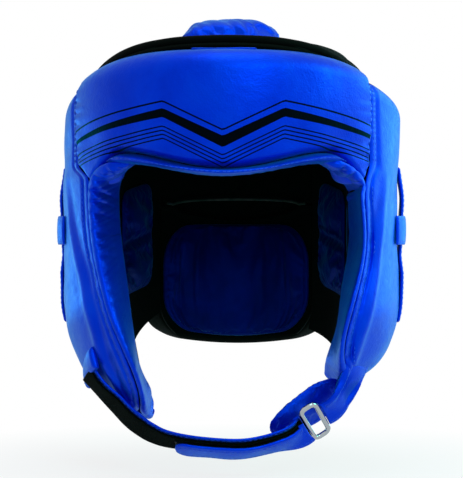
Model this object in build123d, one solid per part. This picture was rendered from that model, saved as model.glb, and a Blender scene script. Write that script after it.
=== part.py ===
from build123d import *
import math
import os

# Open-face boxing headgear, in millimetres. The origin is the middle of the head
# opening, between the ears. The face looks along -Y, +X is the left ear of the
# wearer, and +Z points up. Angles go round the head from the front towards +X.

# Head opening: half sizes from the axis to the lining face
HEAD_HALF_WIDTH = 84.0
HEAD_FRONT = 98.0
HEAD_REAR = 100.0

# Wall build-up
WALL_FRONT = 30.0
WALL_SIDE = 33.5
WALL_REAR = 30.0
LINING = 2.5
LEATHER = 2.0
GAP = 0.3
CUT_PAST = 1.0          # how far a cutter passes the face that it opens
FOAM_GAP = 0.8          # between the foam and the leather round it
CROWN = 3.0             # how far a cushion's face stands out over its sewn edges
RIM_ROLL = 13.0         # radius of the rounded top and bottom edges

# The cheeks and the nape draw in below this height
CURL_START = -40.0
CURL_DROP = 56.0
CURL_IN = 17.5

# Top rim
RIM_FRONT = 122.3
RIM_FALL = 36.0
RIM_EASE = 1.78
RIM_EAR = 93.0
RIM_SLOPE = -0.24       # rise towards the back, at the ears and the rear

# Seams between the panels, in degrees from the front
SEAM_RIGHT_SIDE = 57.5  # towards +X
SEAM_LEFT_SIDE = 63.5   # towards -X
SEAM_REAR = 138.0
SEAM_GAP = 0.3          # degrees, each side of a seam
LINING_TRIM = 0.6       # degrees that a lining stops short of its panel's seam

# Brow
BROW_BOTTOM = 38.0      # lower edge of the roll at the middle
BROW_RISE = 9.0
BROW_WAVE = 1.5         # how much sooner than the seams the lower edge levels out
BROW_TALL = 6.5
BROW_GROWTH = 3.5
BROW_TAPER = 6.0
BROW_TAPER_POWER = 6
BROW_PROUD = 1.5

# Side panel and cheek
CHEEK_TIP_LEFT = -74.0  # lower edge at the ear line; it falls forward to the cheek's tip
CHEEK_TIP_RIGHT = -76.0
TIP_SLOPE_LEFT = 0.52
TIP_SLOPE_RIGHT = 0.28
CHEEK_ANGLE = 53.0
CHEEK_FOLLOW = 0.15     # degrees forward for each millimetre below the ear line
CHEEK_SLANT = 6.0       # degrees that the cheek's front end leans back inside
CHEEK_SLANT_LOW = 11.0
CHEEK_TOP = 46.0        # at the face; the panel steps forward below it
CHEEK_STEP = 8.0
EDGE_START = 0.6
ROLL_BULGE = 8.0
FACE_REACH = 80.0       # where the cheek's front edge lies before the ear line

# Ear opening and its guard
EAR_Y = 6.0
EAR_Z = 6.0
EAR_TALL = 52.0
EAR_LONG = 30.0
EAR_SLEEVE = 3.0
BAR_WIDE = 24.0
BAR_THICK = 4.0
BAR_TOP = 50.0
BAR_BOTTOM = -58.0
BAR_PROUD = 4.0
CROSS_TALL = 20.0
CROSS_LONG = 66.0
CROSS_THICK = 2.2
CROSS_FALL = 6.5        # how far the keeper's ends come down to the panel
EAR_PAD = 7.0
EAR_PAD_FRONT = 105.0
EAR_PAD_BACK = 132.0
EAR_PAD_TOP = 26.0
EAR_PAD_BOTTOM = -50.0
EAR_PAD_SLOPE = 0.25

# Rear
REAR_BOTTOM = -76.0
NAPE_PAD = 9.0
NAPE_PAD_ANGLE = 36.0
NAPE_PAD_TOP = 12.0
NAPE_PAD_BOTTOM = -68.0
SLOT_HALF = 47.0
SLOT_TALL = 16.0
SLOT_LEVEL = 25.0
NAPE_CORNER = 24.0
PAD_END = 0.06          # how far into its swell a pad's ends start
PAD_TRIM = 4.0          # degrees that a pad narrows towards its ends
PAD_LEAST = 1.0
PAD_GAP = 0.8

# Crown
CAP_TOP = 141.0
CAP_FALL = 11.0
CAP_REACH = 98.0
CAP_THICK = 3.0
CAP_SEAT = 0.45         # share of the wall where the cap meets the rim's crest
CAP_SHOULDER = 0.80
CAP_SHOULDER_RISE = 0.68
CAP_SIDE_BOW = 2.5
CAP_LIFT = 1.3
CAP_REAR_REACH = 113.0
CAP_STATIONS = [-94.0, -82.0, -64.0, -40.0, -12.0, 18.0, 46.0, 70.0, 88.0, 101.0, 109.0]
REAR_CREST = RIM_EAR + RIM_SLOPE * (HEAD_REAR + WALL_REAR / 2)
CAP_ROUND = 240.0       # radius of the cap's top, side to side
CAP_BIND_RADIUS = 3.3
CROWN_PAD_WIDE = 68.0
CROWN_PAD_LONG = 104.0
CROWN_PAD_TALL = 12.0
CROWN_TAB_WIDE = 42.0
CROWN_TAB_THICK = 2.4
CROWN_TAB_RUN = [5.0, 2.0, -1.0, -3.0, -5.0]      # outwards from the rim's crest
CROWN_TAB_LEAN = 0.35
PAD_FULL = 0.5
PAD_NARROW = 0.7
PAD_SEAM = 0.35

# Chin strap: stations from its left root under the chin to the ring, chosen by hand,
# each a place on the inner face and the way that the outer face looks there
STRAP_RUN = [
    ((-96.9, -58.1, -86.0), (-0.90, -0.44, -0.05)),
    ((-89.6, -59.8, -98.5), (-0.85, -0.45, -0.25)),
    ((-76.5, -61.5, -110.5), (-0.68, -0.52, -0.50)),
    ((-60.0, -66.0, -121.5), (-0.42, -0.58, -0.68)),
    ((-40.0, -71.0, -130.0), (-0.20, -0.62, -0.74)),
    ((-15.0, -75.0, -135.0), (-0.05, -0.64, -0.77)),
    ((12.0, -75.5, -136.0), (0.05, -0.64, -0.77)),
    ((34.0, -71.0, -131.5), (0.20, -0.62, -0.74)),
]
RING_PLACE = (57.5, -64.0, -120.0)
RING_RUN = (0.84, 0.10, 0.54)     # along the strap at the ring
RING_OUT = (0.35, -0.66, -0.50)
RING_TAB_RUN = [
    ((76.5, -64.0, -108.0), (0.68, -0.55, -0.40)),
    ((86.5, -63.0, -97.5), (0.85, -0.48, -0.20)),
    ((92.5, -63.5, -86.0), (0.88, -0.46, -0.05)),
]
CHIN_PAD_RUN = [
    ((65.0, -53.5, -104.5), (0.75, -0.55, -0.35)),
    ((59.2, -58.4, -111.6), (0.55, -0.60, -0.50)),
    ((47.4, -63.1, -120.0), (0.35, -0.62, -0.60)),
    ((34.0, -67.1, -126.3), (0.20, -0.62, -0.70)),
    ((21.2, -70.1, -130.0), (0.08, -0.64, -0.76)),
]
STRAP_WIDE = 25.0
STRAP_THICK = 2.2
LOOP_WIDE = 19.0
LOOP_THICK = 1.8
HOOK_WIDE = 13.0
HOOK_THICK = 1.2
TAIL_WIDE = 22.0
TAIL_SHIFT = 8.0
TAIL_GAP = 2.8
RING_WIRE = 1.8         # radius of the ring's wire
RING_LONG = 34.0
RING_TALL = 15.0
RING_CORNER = 4.0
RING_LEAD = 5.0
RING_TAB_WIDE = 25.0
RING_TAB_THICK = 4.0
KEEPER_THICK = 2.4
KEEPER_ANGLE = 62.0
KEEPER_HALF_ANGLE = 9.0
KEEPER_TOP = -52.0
KEEPER_BOTTOM = -80.0
KEEPER_SLOPE = 0.30
CHIN_PAD_WIDE = 34.0
CHIN_PAD_THICK = 7.0
TAIL_START = 4          # the strap's station where the tail ends

# Rear strap
REAR_STRAP_TALL = 32.0
REAR_STRAP_THICK = 3.0
REAR_STRAP_LEVEL = 20.0
REAR_STRAP_HALF = 26.0  # degrees each side of the back
REAR_STRAP_SHIFT = 4.0  # degrees that the strap's free end reaches past the patch
PATCH_THICK = 1.2
PATCH_TRIM = 3.0

# Places of the sections along each loft, as shares from its low end to its high end
FOREHEAD_STATIONS = 10
SIDE_STEPS = [0, 0.01, 0.03, 0.055, 0.085, 0.12, 0.155, 0.19, 0.225, 0.265, 0.32, 0.4, 0.5, 0.6, 0.66, 0.72,
              0.78, 0.86, 0.93, 0.97, 0.99, 1]
REAR_STEPS = [0, 0.012, 0.04, 0.08, 0.13, 0.19, 0.26, 0.34, 0.42, 0.5, 0.58, 0.66, 0.74, 0.81, 0.87, 0.92,
              0.96, 0.988, 1]
LINING_STEPS = [0, 0.06, 0.12, 0.2, 0.3, 0.4, 0.5, 0.6, 0.7, 0.8, 0.9, 1]
ROLL_STEPS = [0, 0.03, 0.09, 0.2, 0.35, 0.5, 0.65, 0.8, 0.92, 1]
PAD_STEPS = [0, 0.06, 0.15, 0.3, 0.5, 0.7, 0.85, 0.94, 1]
BAR_STATIONS = 8
CROSS_STATIONS = 4
BAND_STATIONS = 8
PAD_STATIONS = 10
KEEPER_STATIONS = 3
SETTLE_STEPS = 8


# ---- The wall: points, sections and lofts -----------------------------------------

def blend(start, end, share):
    return start + (end - start) * share


def curl(height):
    return CURL_IN * (max(0.0, CURL_START - height) / CURL_DROP) ** 2


def wall(angle):
    """Thickness of the wall at an angle."""
    turn = math.radians(angle)
    middle = WALL_FRONT if math.cos(turn) > 0 else WALL_REAR
    return blend(middle, WALL_SIDE, math.sin(turn) ** 2)


def wall_point(angle, depth, height):
    """Point at an angle from the front and a depth out from the lining face."""
    turn = math.radians(angle)
    reach = HEAD_FRONT if math.cos(turn) > 0 else HEAD_REAR
    x = (HEAD_HALF_WIDTH - curl(height) + depth) * math.sin(turn)
    y = -(reach - curl(height) + depth) * math.cos(turn)
    return Vector(x, y, height)


def slanted_point(angle, depth, level, slope):
    """Wall point on the plane that meets the ear line at a level and rises towards the back."""
    height = level
    for _ in range(SETTLE_STEPS):
        height = level + slope * wall_point(angle, depth, height).Y
    point = wall_point(angle, depth, height)
    return Vector(point.X, point.Y, level + slope * point.Y)


def degrees_for(length, radius):
    """Angle that a length along the wall takes up at a radius."""
    return math.degrees(length / radius)


def seam_angle(side):
    """Angle of the seam between the forehead and a side panel; side is -1 or +1."""
    return SEAM_RIGHT_SIDE if side > 0 else SEAM_LEFT_SIDE


def closed_wire(corners, middles):
    """Wire through the corners, with an arc where a side has a middle point and a line where not."""
    edges = []
    for index, (start, middle) in enumerate(zip(corners, middles)):
        end = corners[(index + 1) % len(corners)]
        if middle is None:
            edges.append(Edge.make_line(start, end))
        else:
            edges.append(Edge.make_three_point_arc(start, middle, end))
    return Wire(edges)


def loft(wires, ruled=False):
    return Solid.make_loft(wires, ruled)


def save(name, shape):
    export_step(shape, f"parts/{name}.step")
    print(name, round(shape.volume))


# ---- Forehead: upright sections, one at each angle --------------------------------

def rim_height(angle):
    """Top of the forehead's rim."""
    return RIM_FRONT - RIM_FALL * max(0.0, 1 - math.cos(math.radians(angle))) ** RIM_EASE


def brow_wave(angle):
    return math.sin(math.radians(BROW_WAVE * angle)) ** 2


def brow_bottom(angle):
    return BROW_BOTTOM + BROW_RISE * brow_wave(angle)


def crease_height(angle):
    """Where the forehead meets the brow roll, which is tallest over the eyes."""
    taper = BROW_TAPER * (abs(angle) / SEAM_LEFT_SIDE) ** BROW_TAPER_POWER
    return brow_bottom(angle) + BROW_TALL + BROW_GROWTH * brow_wave(angle) - taper


def upright_wire(angle, inner, outer, bottom, top, roll, crown):
    """Section of a wall piece: rounded top, crowned outer face, flat bottom and inner face."""
    corners = [
        wall_point(angle, inner, top - roll),
        wall_point(angle, outer, top - roll),
        wall_point(angle, outer, bottom),
        wall_point(angle, inner, bottom),
    ]
    middles = [
        wall_point(angle, (inner + outer) / 2, top),
        wall_point(angle, outer + crown, (top - roll + bottom) / 2) if crown else None,
        None,
        None,
    ]
    return closed_wire(corners, middles)


def forehead_angles(margin):
    """Stations from one seam to the other, in degrees."""
    first = SEAM_GAP + margin - seam_angle(-1)
    last = seam_angle(1) - SEAM_GAP - margin
    return [blend(first, last, step / FOREHEAD_STATIONS) for step in range(FOREHEAD_STATIONS + 1)]


def forehead_body(inset, inner, margin):
    """Forehead cushion, drawn in by an inset, with its inner face at a depth."""
    wires = []
    for angle in forehead_angles(margin):
        wires.append(upright_wire(
            angle,
            inner,
            wall(angle) - CROWN - inset,
            crease_height(angle) + GAP + inset,
            rim_height(angle) - inset,
            RIM_ROLL - inset / 2,
            CROWN,
        ))
    return loft(wires)


def make_forehead():
    inner = LINING + GAP
    skin = forehead_body(0, inner, 0) - forehead_body(LEATHER, inner - CUT_PAST, -CUT_PAST)
    save("forehead_skin", skin)
    save("forehead_foam", forehead_body(LEATHER + FOAM_GAP, inner + FOAM_GAP, FOAM_GAP))
    wires = []
    for angle in forehead_angles(0):
        wires.append(upright_wire(
            angle, 0, LINING, crease_height(angle) + LINING, rim_height(angle) - RIM_ROLL,
            LINING / 2, 0))
    save("forehead_lining", loft(wires))


def make_brow_roll():
    """Padded roll that hangs from the crease and stands a little proud of the forehead."""
    wires = []
    for angle in forehead_angles(0):
        top = crease_height(angle)
        bottom = brow_bottom(angle)
        outer = wall(angle) - CROWN
        corners = [
            wall_point(angle, LINING, top),
            wall_point(angle, outer, top),
            wall_point(angle, outer - BROW_PROUD, bottom),
            wall_point(angle, 0, bottom + BROW_PROUD),
        ]
        middles = [
            None,
            wall_point(angle, outer + BROW_PROUD, (top + bottom) / 2),
            wall_point(angle, outer / 2, bottom - BROW_PROUD),
            wall_point(angle, -BROW_PROUD, (top + bottom) / 2),
        ]
        wires.append(closed_wire(corners, middles))
    save("brow_roll", loft(wires))


# ---- Side and rear panels: slanted sections, one at each level ----------------------

def cheek_tip(side):
    return CHEEK_TIP_RIGHT if side > 0 else CHEEK_TIP_LEFT


def slope_at(side, level):
    """The sections fan from the slope of the rim to that of the lower edge."""
    share = (RIM_EAR - level) / (RIM_EAR - cheek_tip(side))
    return blend(RIM_SLOPE, TIP_SLOPE_RIGHT if side > 0 else TIP_SLOPE_LEFT, share)


def face_height(side, level):
    """Height at the face of the section at a level."""
    return level - slope_at(side, level) * FACE_REACH


def face_level(side, height):
    """Level of the section that has a height at the face."""
    low = face_height(side, cheek_tip(side))
    high = face_height(side, RIM_EAR)
    return blend(cheek_tip(side), RIM_EAR, (height - low) / (high - low))


def edge_inset(distance, radius):
    """How far a rounded edge has drawn in at a distance from its end."""
    if distance >= radius:
        return 0.0
    return radius - math.sqrt(radius ** 2 - (radius - distance) ** 2)


def section_points(front, back, inner, inset, level, slope, slant):
    """Corners and arc middles of a slanted section between two signed angles."""
    middle = (front + back) / 2

    def at(angle, depth):
        return slanted_point(angle, depth, level, slope)

    def outer(angle):
        return wall(angle) - CROWN - inset

    corners = [
        at(front, outer(front)),
        at(back, outer(back)),
        at(back, inner),
        at(front + slant, inner),
    ]
    return corners, at(middle, outer(middle) + CROWN), at(middle, inner)


def solid_wire(front, back, inner, inset, level, slope, slant):
    """Closed section with a crowned outer face."""
    corners, outer_middle, inner_middle = section_points(front, back, inner, inset, level, slope, slant)
    return closed_wire(corners, [outer_middle, None, inner_middle, None])


def cover_wire(front, back, inner, inset, level, slope, slant):
    """Open section of the leather: down one end, over the outer face and up the other end."""
    side = math.copysign(1.0, back - front)
    edge = side * degrees_for(LEATHER, HEAD_FRONT + WALL_SIDE)
    outside, outside_middle, _ = section_points(front, back, inner, inset, level, slope, slant)
    inside, inside_middle, _ = section_points(
        front + edge, back - edge, inner, inset + LEATHER, level, slope, slant)
    corners = [
        outside[3], outside[0], outside[1], outside[2],
        inside[2], inside[1], inside[0], inside[3],
    ]
    middles = [None, outside_middle, None, None, None, inside_middle, None, None]
    return closed_wire(corners, middles)


def cheek_front(side, level):
    """Angle of the cheek's stitched front edge, and how far its end leans back inside."""
    height = face_height(side, level)
    angle = CHEEK_ANGLE + CHEEK_FOLLOW * min(0.0, height)
    lean = min(1.0, max(0.0, -height / FACE_REACH))
    return angle, blend(CHEEK_SLANT, CHEEK_SLANT_LOW, lean)


def side_front(side, level):
    """Front angle of the side panel: the seam above the brow, the cheek's edge below it."""
    angle, slant = cheek_front(side, level)
    share = min(1.0, max(0.0, (face_height(side, level) - CHEEK_TOP + CHEEK_STEP) / CHEEK_STEP))
    return blend(angle, seam_angle(side), share), blend(slant, 0.0, share)


def side_levels(side, inset):
    """Levels of the side's sections, between its rounded lower and upper edges."""
    low = cheek_tip(side) + EDGE_START + inset
    high = RIM_EAR - EDGE_START - inset
    return [blend(low, high, step) for step in SIDE_STEPS]


def end_inset(level, top, bottom):
    """How far the rounded top and bottom edges have drawn in at a level."""
    return edge_inset(top - level, RIM_ROLL) + edge_inset(level - bottom, RIM_ROLL)


def side_sections(side, make_wire, inset, inner):
    """Sections of a side panel from its rim to the cheek's tip; side is -1 or +1."""
    trim = SEAM_GAP + degrees_for(inset, HEAD_HALF_WIDTH)
    wires = []
    for level in side_levels(side, inset):
        drawn = end_inset(level, RIM_EAR - inset, cheek_tip(side) + inset)
        front, slant = side_front(side, level)
        wires.append(make_wire(
            side * (front + trim), side * (SEAM_REAR - trim), inner + drawn, inset + drawn,
            level, slope_at(side, level), side * slant))
    return wires


def ear_opening(side, grow):
    """Cutter for the ear opening: an upright slot with round ends."""
    plane = Plane((0, EAR_Y, EAR_Z), x_dir=(0, 0, 1), z_dir=(side, 0, 0))
    slot = plane * SlotOverall(EAR_TALL + 2 * grow, EAR_LONG + 2 * grow)
    return extrude(slot, HEAD_HALF_WIDTH + 2 * WALL_SIDE)


def lining_wire(front, back, inner, outer, level, slope, slant):
    """Section of a thin inner layer between two depths."""
    middle = (front + back) / 2
    corners = [
        slanted_point(front + slant, outer, level, slope),
        slanted_point(back, outer, level, slope),
        slanted_point(back, inner, level, slope),
        slanted_point(front + slant, inner, level, slope),
    ]
    middles = [
        slanted_point(middle, outer, level, slope),
        None,
        slanted_point(middle, inner, level, slope),
        None,
    ]
    return closed_wire(corners, middles)


def side_lining(side):
    wires = []
    for level in side_levels(side, RIM_ROLL / 2):
        front, slant = side_front(side, level)
        wires.append(lining_wire(
            side * (front + LINING_TRIM), side * (SEAM_REAR - LINING_TRIM), 0, LINING,
            level, slope_at(side, level), side * slant))
    return loft(wires)


def cheek_roll(side):
    """Padded front edge of the cheek: a nose ahead of the panel's slanted front end."""
    wires = []
    top = face_level(side, CHEEK_TOP - CHEEK_STEP)
    for step in ROLL_STEPS:
        level = blend(cheek_tip(side) + EDGE_START, top, step)
        slope = slope_at(side, level)
        drawn = end_inset(level, top + RIM_ROLL / 2, cheek_tip(side))
        angle, slant = cheek_front(side, level)
        angle -= SEAM_GAP
        depth = wall(angle) - CROWN - drawn
        bulge = degrees_for(ROLL_BULGE, HEAD_FRONT)
        corners = [
            slanted_point(side * angle, depth, level, slope),
            slanted_point(side * (angle + slant), LINING + drawn, level, slope),
        ]
        middles = [
            slanted_point(side * (angle + slant / 2 - bulge), depth / 2, level, slope),
            None,
        ]
        wires.append(closed_wire(corners, middles))
    return loft(wires)


def ear_sleeve(side):
    """Leather sleeve that lines the ear opening through the wall."""
    tube = ear_opening(side, 0) - ear_opening(side, -EAR_SLEEVE)
    start = HEAD_HALF_WIDTH + GAP
    depth = WALL_SIDE - CROWN - GAP
    keep = Pos(side * (start + depth / 2), EAR_Y, EAR_Z) * Box(depth, 2 * EAR_LONG, 2 * EAR_TALL)
    return tube & keep


def band_wire(centre, along, out, wide, thick):
    """Rectangle across a band: centre of its inner face, and the directions of its run and its face."""
    across = along.cross(out).normalized() * (wide / 2)
    lift = out.normalized() * thick
    corners = [centre - across, centre + across, centre + across + lift, centre - across + lift]
    return closed_wire(corners, [None] * len(corners))


def band(centres, outs, wide, thick, lift=0.0, shift=0.0):
    """Flat band through stations, raised off them by a lift and moved along its width by a shift."""
    wires = []
    last = len(centres) - 1
    for index, centre in enumerate(centres):
        along = (centres[min(index + 1, last)] - centres[max(index - 1, 0)]).normalized()
        out = (outs[index] - along * outs[index].dot(along)).normalized()
        across = along.cross(out)
        wires.append(band_wire(centre + out * lift + across * shift, along, out, wide, thick))
    return loft(wires)


def ear_bar(side):
    """Guard bar: sewn above and below the ear opening, bowed out between."""
    centres = []
    outs = []
    for step in range(BAR_STATIONS + 1):
        share = step / BAR_STATIONS
        height = blend(BAR_BOTTOM, BAR_TOP, share)
        bow = BAR_PROUD * math.sin(math.pi * share)
        skin = HEAD_HALF_WIDTH - curl(height) + WALL_SIDE + GAP
        centres.append(Vector(side * (skin + bow), EAR_Y, height))
        outs.append(Vector(side, 0, 0))
    return band(centres, outs, BAR_WIDE, BAR_THICK - CROSS_THICK)


def ear_cross(side):
    """Cross keeper over the guard bar, sewn to the panel before and behind it."""
    centres = []
    outs = []
    share = (EAR_Z - BAR_BOTTOM) / (BAR_TOP - BAR_BOTTOM)
    top = HEAD_HALF_WIDTH + WALL_SIDE + BAR_PROUD * math.sin(math.pi * share) + BAR_THICK - CROSS_THICK
    for step in range(-CROSS_STATIONS, CROSS_STATIONS + 1):
        along = step / CROSS_STATIONS * CROSS_LONG / 2
        fall = CROSS_FALL * max(0.0, (abs(along) - BAR_WIDE / 2) / (CROSS_LONG / 2 - BAR_WIDE / 2)) ** 2
        centres.append(Vector(side * (top + 2 * GAP - fall), EAR_Y + along, EAR_Z))
        outs.append(Vector(side, 0, 0))
    return band(centres, outs, CROSS_TALL, CROSS_THICK)


def inner_pad(front, back, bottom, top, thick, slope):
    """Crowned pad on the lining, between two signed angles, standing into the head opening."""
    wires = []
    middle = (front + back) / 2
    for step in PAD_STEPS:
        level = blend(bottom, top, step)
        swell = math.sqrt(math.sin(math.pi * blend(PAD_END, 1 - PAD_END, step)))
        trim = math.copysign(PAD_TRIM * (1 - swell), back - front)
        corners = [
            slanted_point(front + trim, -PAD_GAP, level, slope),
            slanted_point(back - trim, -PAD_GAP, level, slope),
        ]
        middles = [
            slanted_point(middle, -PAD_GAP, level, slope),
            slanted_point(middle, -PAD_GAP - thick * swell - PAD_LEAST, level, slope),
        ]
        wires.append(closed_wire(corners, middles))
    return loft(wires)


def make_side(side, name):
    inner = LINING + GAP
    hole = ear_opening(side, GAP)
    save(f"side_skin_{name}", loft(side_sections(side, cover_wire, 0, inner)) - hole)
    core = side_sections(side, solid_wire, LEATHER + FOAM_GAP, inner + FOAM_GAP)
    save(f"side_foam_{name}", loft(core) - hole)
    save(f"side_lining_{name}", side_lining(side) - hole)
    save(f"cheek_roll_{name}", cheek_roll(side))
    save(f"ear_sleeve_{name}", ear_sleeve(side))
    save(f"ear_bar_{name}", ear_bar(side))
    save(f"ear_cross_{name}", ear_cross(side))
    save(f"ear_pad_{name}", inner_pad(
        side * EAR_PAD_FRONT, side * EAR_PAD_BACK, EAR_PAD_BOTTOM, EAR_PAD_TOP, EAR_PAD, EAR_PAD_SLOPE))


# ---- Rear panel ----------------------------------------------------------------------

def rear_slope(level):
    return blend(RIM_SLOPE, 0.0, (RIM_EAR - level) / (RIM_EAR - REAR_BOTTOM))


def rear_sections(make_wire, inset, inner):
    """Sections of the rear panel, narrower towards the rounded corners of the nape."""
    trim = SEAM_GAP + degrees_for(inset, HEAD_REAR)
    wires = []
    for step in REAR_STEPS:
        level = blend(REAR_BOTTOM + EDGE_START + inset, RIM_EAR - EDGE_START - inset, step)
        drawn = end_inset(level, RIM_EAR - inset, REAR_BOTTOM + inset)
        corner = degrees_for(edge_inset(level - REAR_BOTTOM - inset, NAPE_CORNER), HEAD_REAR)
        front = SEAM_REAR + trim + corner
        wires.append(make_wire(
            front, 360 - front, inner + drawn, inset + drawn, level, rear_slope(level), 0.0))
    return loft(wires)


def rear_lining():
    wires = []
    for step in LINING_STEPS:
        level = blend(REAR_BOTTOM + RIM_ROLL / 2, RIM_EAR - RIM_ROLL / 2, step)
        corner = degrees_for(edge_inset(level - REAR_BOTTOM, NAPE_CORNER), HEAD_REAR)
        front = SEAM_REAR + LINING_TRIM + corner
        wires.append(lining_wire(front, 360 - front, 0, LINING, level, rear_slope(level), 0.0))
    return loft(wires)


def lens_slot():
    """Cutter for the lens-shaped slot in the rear lining: two shallow arcs."""
    ends = [Vector(-SLOT_HALF, 0, SLOT_LEVEL), Vector(SLOT_HALF, 0, SLOT_LEVEL)]
    top = Vector(0, 0, SLOT_LEVEL + SLOT_TALL / 2)
    bottom = Vector(0, 0, SLOT_LEVEL - SLOT_TALL / 2)
    outline = Wire([
        Edge.make_three_point_arc(ends[0], top, ends[1]),
        Edge.make_three_point_arc(ends[1], bottom, ends[0]),
    ])
    return extrude(Face(outline), HEAD_REAR + WALL_REAR, dir=(0, 1, 0))


def rear_band(half_angle, tall, thick, depth, shift=0.0):
    """Band round the back of the head at a depth, between two angles either side of the middle."""
    centres = []
    outs = []
    for step in range(BAND_STATIONS + 1):
        angle = 180 + shift + blend(-half_angle, half_angle, step / BAND_STATIONS)
        centres.append(wall_point(angle, depth, REAR_STRAP_LEVEL))
        outs.append(wall_point(angle, depth + thick, REAR_STRAP_LEVEL) - centres[-1])
    return band(centres, outs, tall, thick)


def make_rear():
    inner = LINING + GAP
    save("rear_skin", rear_sections(cover_wire, 0, inner))
    save("rear_foam", rear_sections(solid_wire, LEATHER + FOAM_GAP, inner + FOAM_GAP))
    save("rear_lining", rear_lining() - lens_slot())
    save("nape_pad", inner_pad(
        180 - NAPE_PAD_ANGLE, 180 + NAPE_PAD_ANGLE, NAPE_PAD_BOTTOM, NAPE_PAD_TOP, NAPE_PAD, 0.0))
    save("rear_loop_patch", rear_band(
        REAR_STRAP_HALF - PATCH_TRIM, REAR_STRAP_TALL - PATCH_TRIM, PATCH_THICK, WALL_REAR + GAP))
    save("rear_strap", rear_band(
        REAR_STRAP_HALF, REAR_STRAP_TALL, REAR_STRAP_THICK, WALL_REAR + PATCH_THICK + 2 * GAP,
        REAR_STRAP_SHIFT))


# ---- Crown ------------------------------------------------------------------------------

def crest_depth(angle):
    return wall(angle) * CAP_SEAT


def crest_height(angle):
    """Top of the rim all round, where the crown cap sits."""
    if abs(angle) < seam_angle(angle):
        return rim_height(angle)
    return RIM_EAR + RIM_SLOPE * wall_point(angle, crest_depth(angle), 0).Y


def cap_top(y):
    """The cap falls gently to the forehead and rounds down to the rim at the rear."""
    if y < 0:
        return CAP_TOP - CAP_FALL * (y / CAP_REACH) ** 2
    return REAR_CREST + (CAP_TOP - REAR_CREST) * math.sqrt(1 - (y / CAP_REAR_REACH) ** 2)


def crest_angle(y):
    """Angle at which the rim's crest crosses a plane square to the front."""
    reach = HEAD_FRONT if y < 0 else HEAD_REAR
    return math.degrees(math.acos(-y / (reach + WALL_FRONT * CAP_SEAT)))


def cap_outline(y, inset):
    """Arch of the cap at a place from front to back: right foot, shoulder, top, shoulder, left foot."""
    angle = crest_angle(y)
    feet = []
    shoulders = []
    for side in (1, -1):
        foot = wall_point(side * angle, crest_depth(angle), 0)
        half = abs(foot.X) - inset
        base = crest_height(side * angle) + CAP_LIFT
        feet.append(Vector(side * half, y, base))
        shoulders.append(Vector(
            side * half * CAP_SHOULDER, y, blend(base, cap_top(y) - inset, CAP_SHOULDER_RISE)))
    return feet, shoulders, Vector(0, y, cap_top(y) - inset)


def between(start, end, out):
    """Middle of two points, moved out from the line between them in an upright plane."""
    middle = (start + end) * 0.5
    along = (end - start).normalized()
    return middle + Vector(-along.Z, 0, along.X) * out


def cap_section(y):
    """Thin arch: the cap's outer line, its feet, and its inner line."""
    (outer_right, outer_left), (high_right, high_left), top = cap_outline(y, 0)
    (inner_right, inner_left), (low_right, low_left), under = cap_outline(y, CAP_THICK)
    corners = [outer_right, high_right, high_left, outer_left, inner_left, low_left, low_right, inner_right]
    middles = [
        between(outer_right, high_right, -CAP_SIDE_BOW),
        top,
        between(high_left, outer_left, -CAP_SIDE_BOW),
        None,
        between(inner_left, low_left, CAP_SIDE_BOW),
        under,
        between(low_right, inner_right, CAP_SIDE_BOW),
        None,
    ]
    return closed_wire(corners, middles)


def cap_binding(y):
    """Rolled edge that stands in front of the cap and follows its arch."""
    (right, left), (high_right, high_left), top = cap_outline(y, CAP_THICK / 2)
    return Wire([
        Edge.make_three_point_arc(right, between(right, high_right, -CAP_SIDE_BOW), high_right),
        Edge.make_three_point_arc(high_right, top, high_left),
        Edge.make_three_point_arc(high_left, between(high_left, left, -CAP_SIDE_BOW), left),
    ])


def crown_pad():
    """Cushion on top of the cap, drawn in at its ends and crowned along its run."""
    wires = []
    for step in range(PAD_STATIONS + 1):
        share = step / PAD_STATIONS
        y = blend(-CROWN_PAD_LONG / 2, CROWN_PAD_LONG / 2, share)
        swell = math.sin(math.pi * blend(PAD_END, 1 - PAD_END, share)) ** PAD_FULL
        half = CROWN_PAD_WIDE / 2 * blend(PAD_NARROW, 1, swell)
        tall = CROWN_PAD_TALL * swell
        seat = cap_top(y) + GAP
        sag = half ** 2 / (2 * CAP_ROUND)
        side = seat - sag + tall * PAD_SEAM
        corners = [Vector(half, y, side), Vector(-half, y, side)]
        middles = [Vector(0, y, seat + tall), Vector(0, y, seat)]
        wires.append(closed_wire(corners, middles))
    return loft(wires)


def crown_tab(end):
    """Leather tab from the rim's crest up to the cap; end is -1 at the front, +1 at the rear."""
    angle = 0 if end < 0 else 180
    crest = wall_point(angle, crest_depth(angle), 0).Y
    base = crest_height(angle) + 2 * GAP
    lean = -RIM_SLOPE if end > 0 else 0.0
    centres = []
    outs = []
    for out in CROWN_TAB_RUN:
        fall = out ** 2 / (2 * RIM_ROLL) + lean * out
        centres.append(Vector(0, crest + end * out, base - fall))
        outs.append(Vector(0, end * CROWN_TAB_LEAN, 1))
    return band(centres, outs, CROWN_TAB_WIDE, CROWN_TAB_THICK)


# ---- Chin strap --------------------------------------------------------------------------

def stations(run):
    return [Vector(*place) for place, _ in run], [Vector(*out) for _, out in run]


def ring_bar(end):
    """Middle of one of the ring's long bars; end is -1 at the strap, +1 at the tab."""
    return Vector(*RING_PLACE) + Vector(*RING_RUN).normalized() * end * (RING_TALL / 2 - RING_WIRE)


def bar_seat(end):
    """Where a band ends, just clear of the ring's bar."""
    return ring_bar(end) + Vector(*RING_RUN).normalized() * end * (RING_WIRE + GAP)


def ring_approach(end):
    """Two stations that bring a band square to the ring's bar, the nearer one last."""
    lead = Vector(*RING_RUN).normalized() * end * RING_LEAD
    return [bar_seat(end) + lead, bar_seat(end)], [Vector(*RING_OUT)] * 2


def strap_stations():
    centres, outs = stations(STRAP_RUN)
    near, near_outs = ring_approach(-1)
    return centres + near, outs + near_outs


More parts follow.
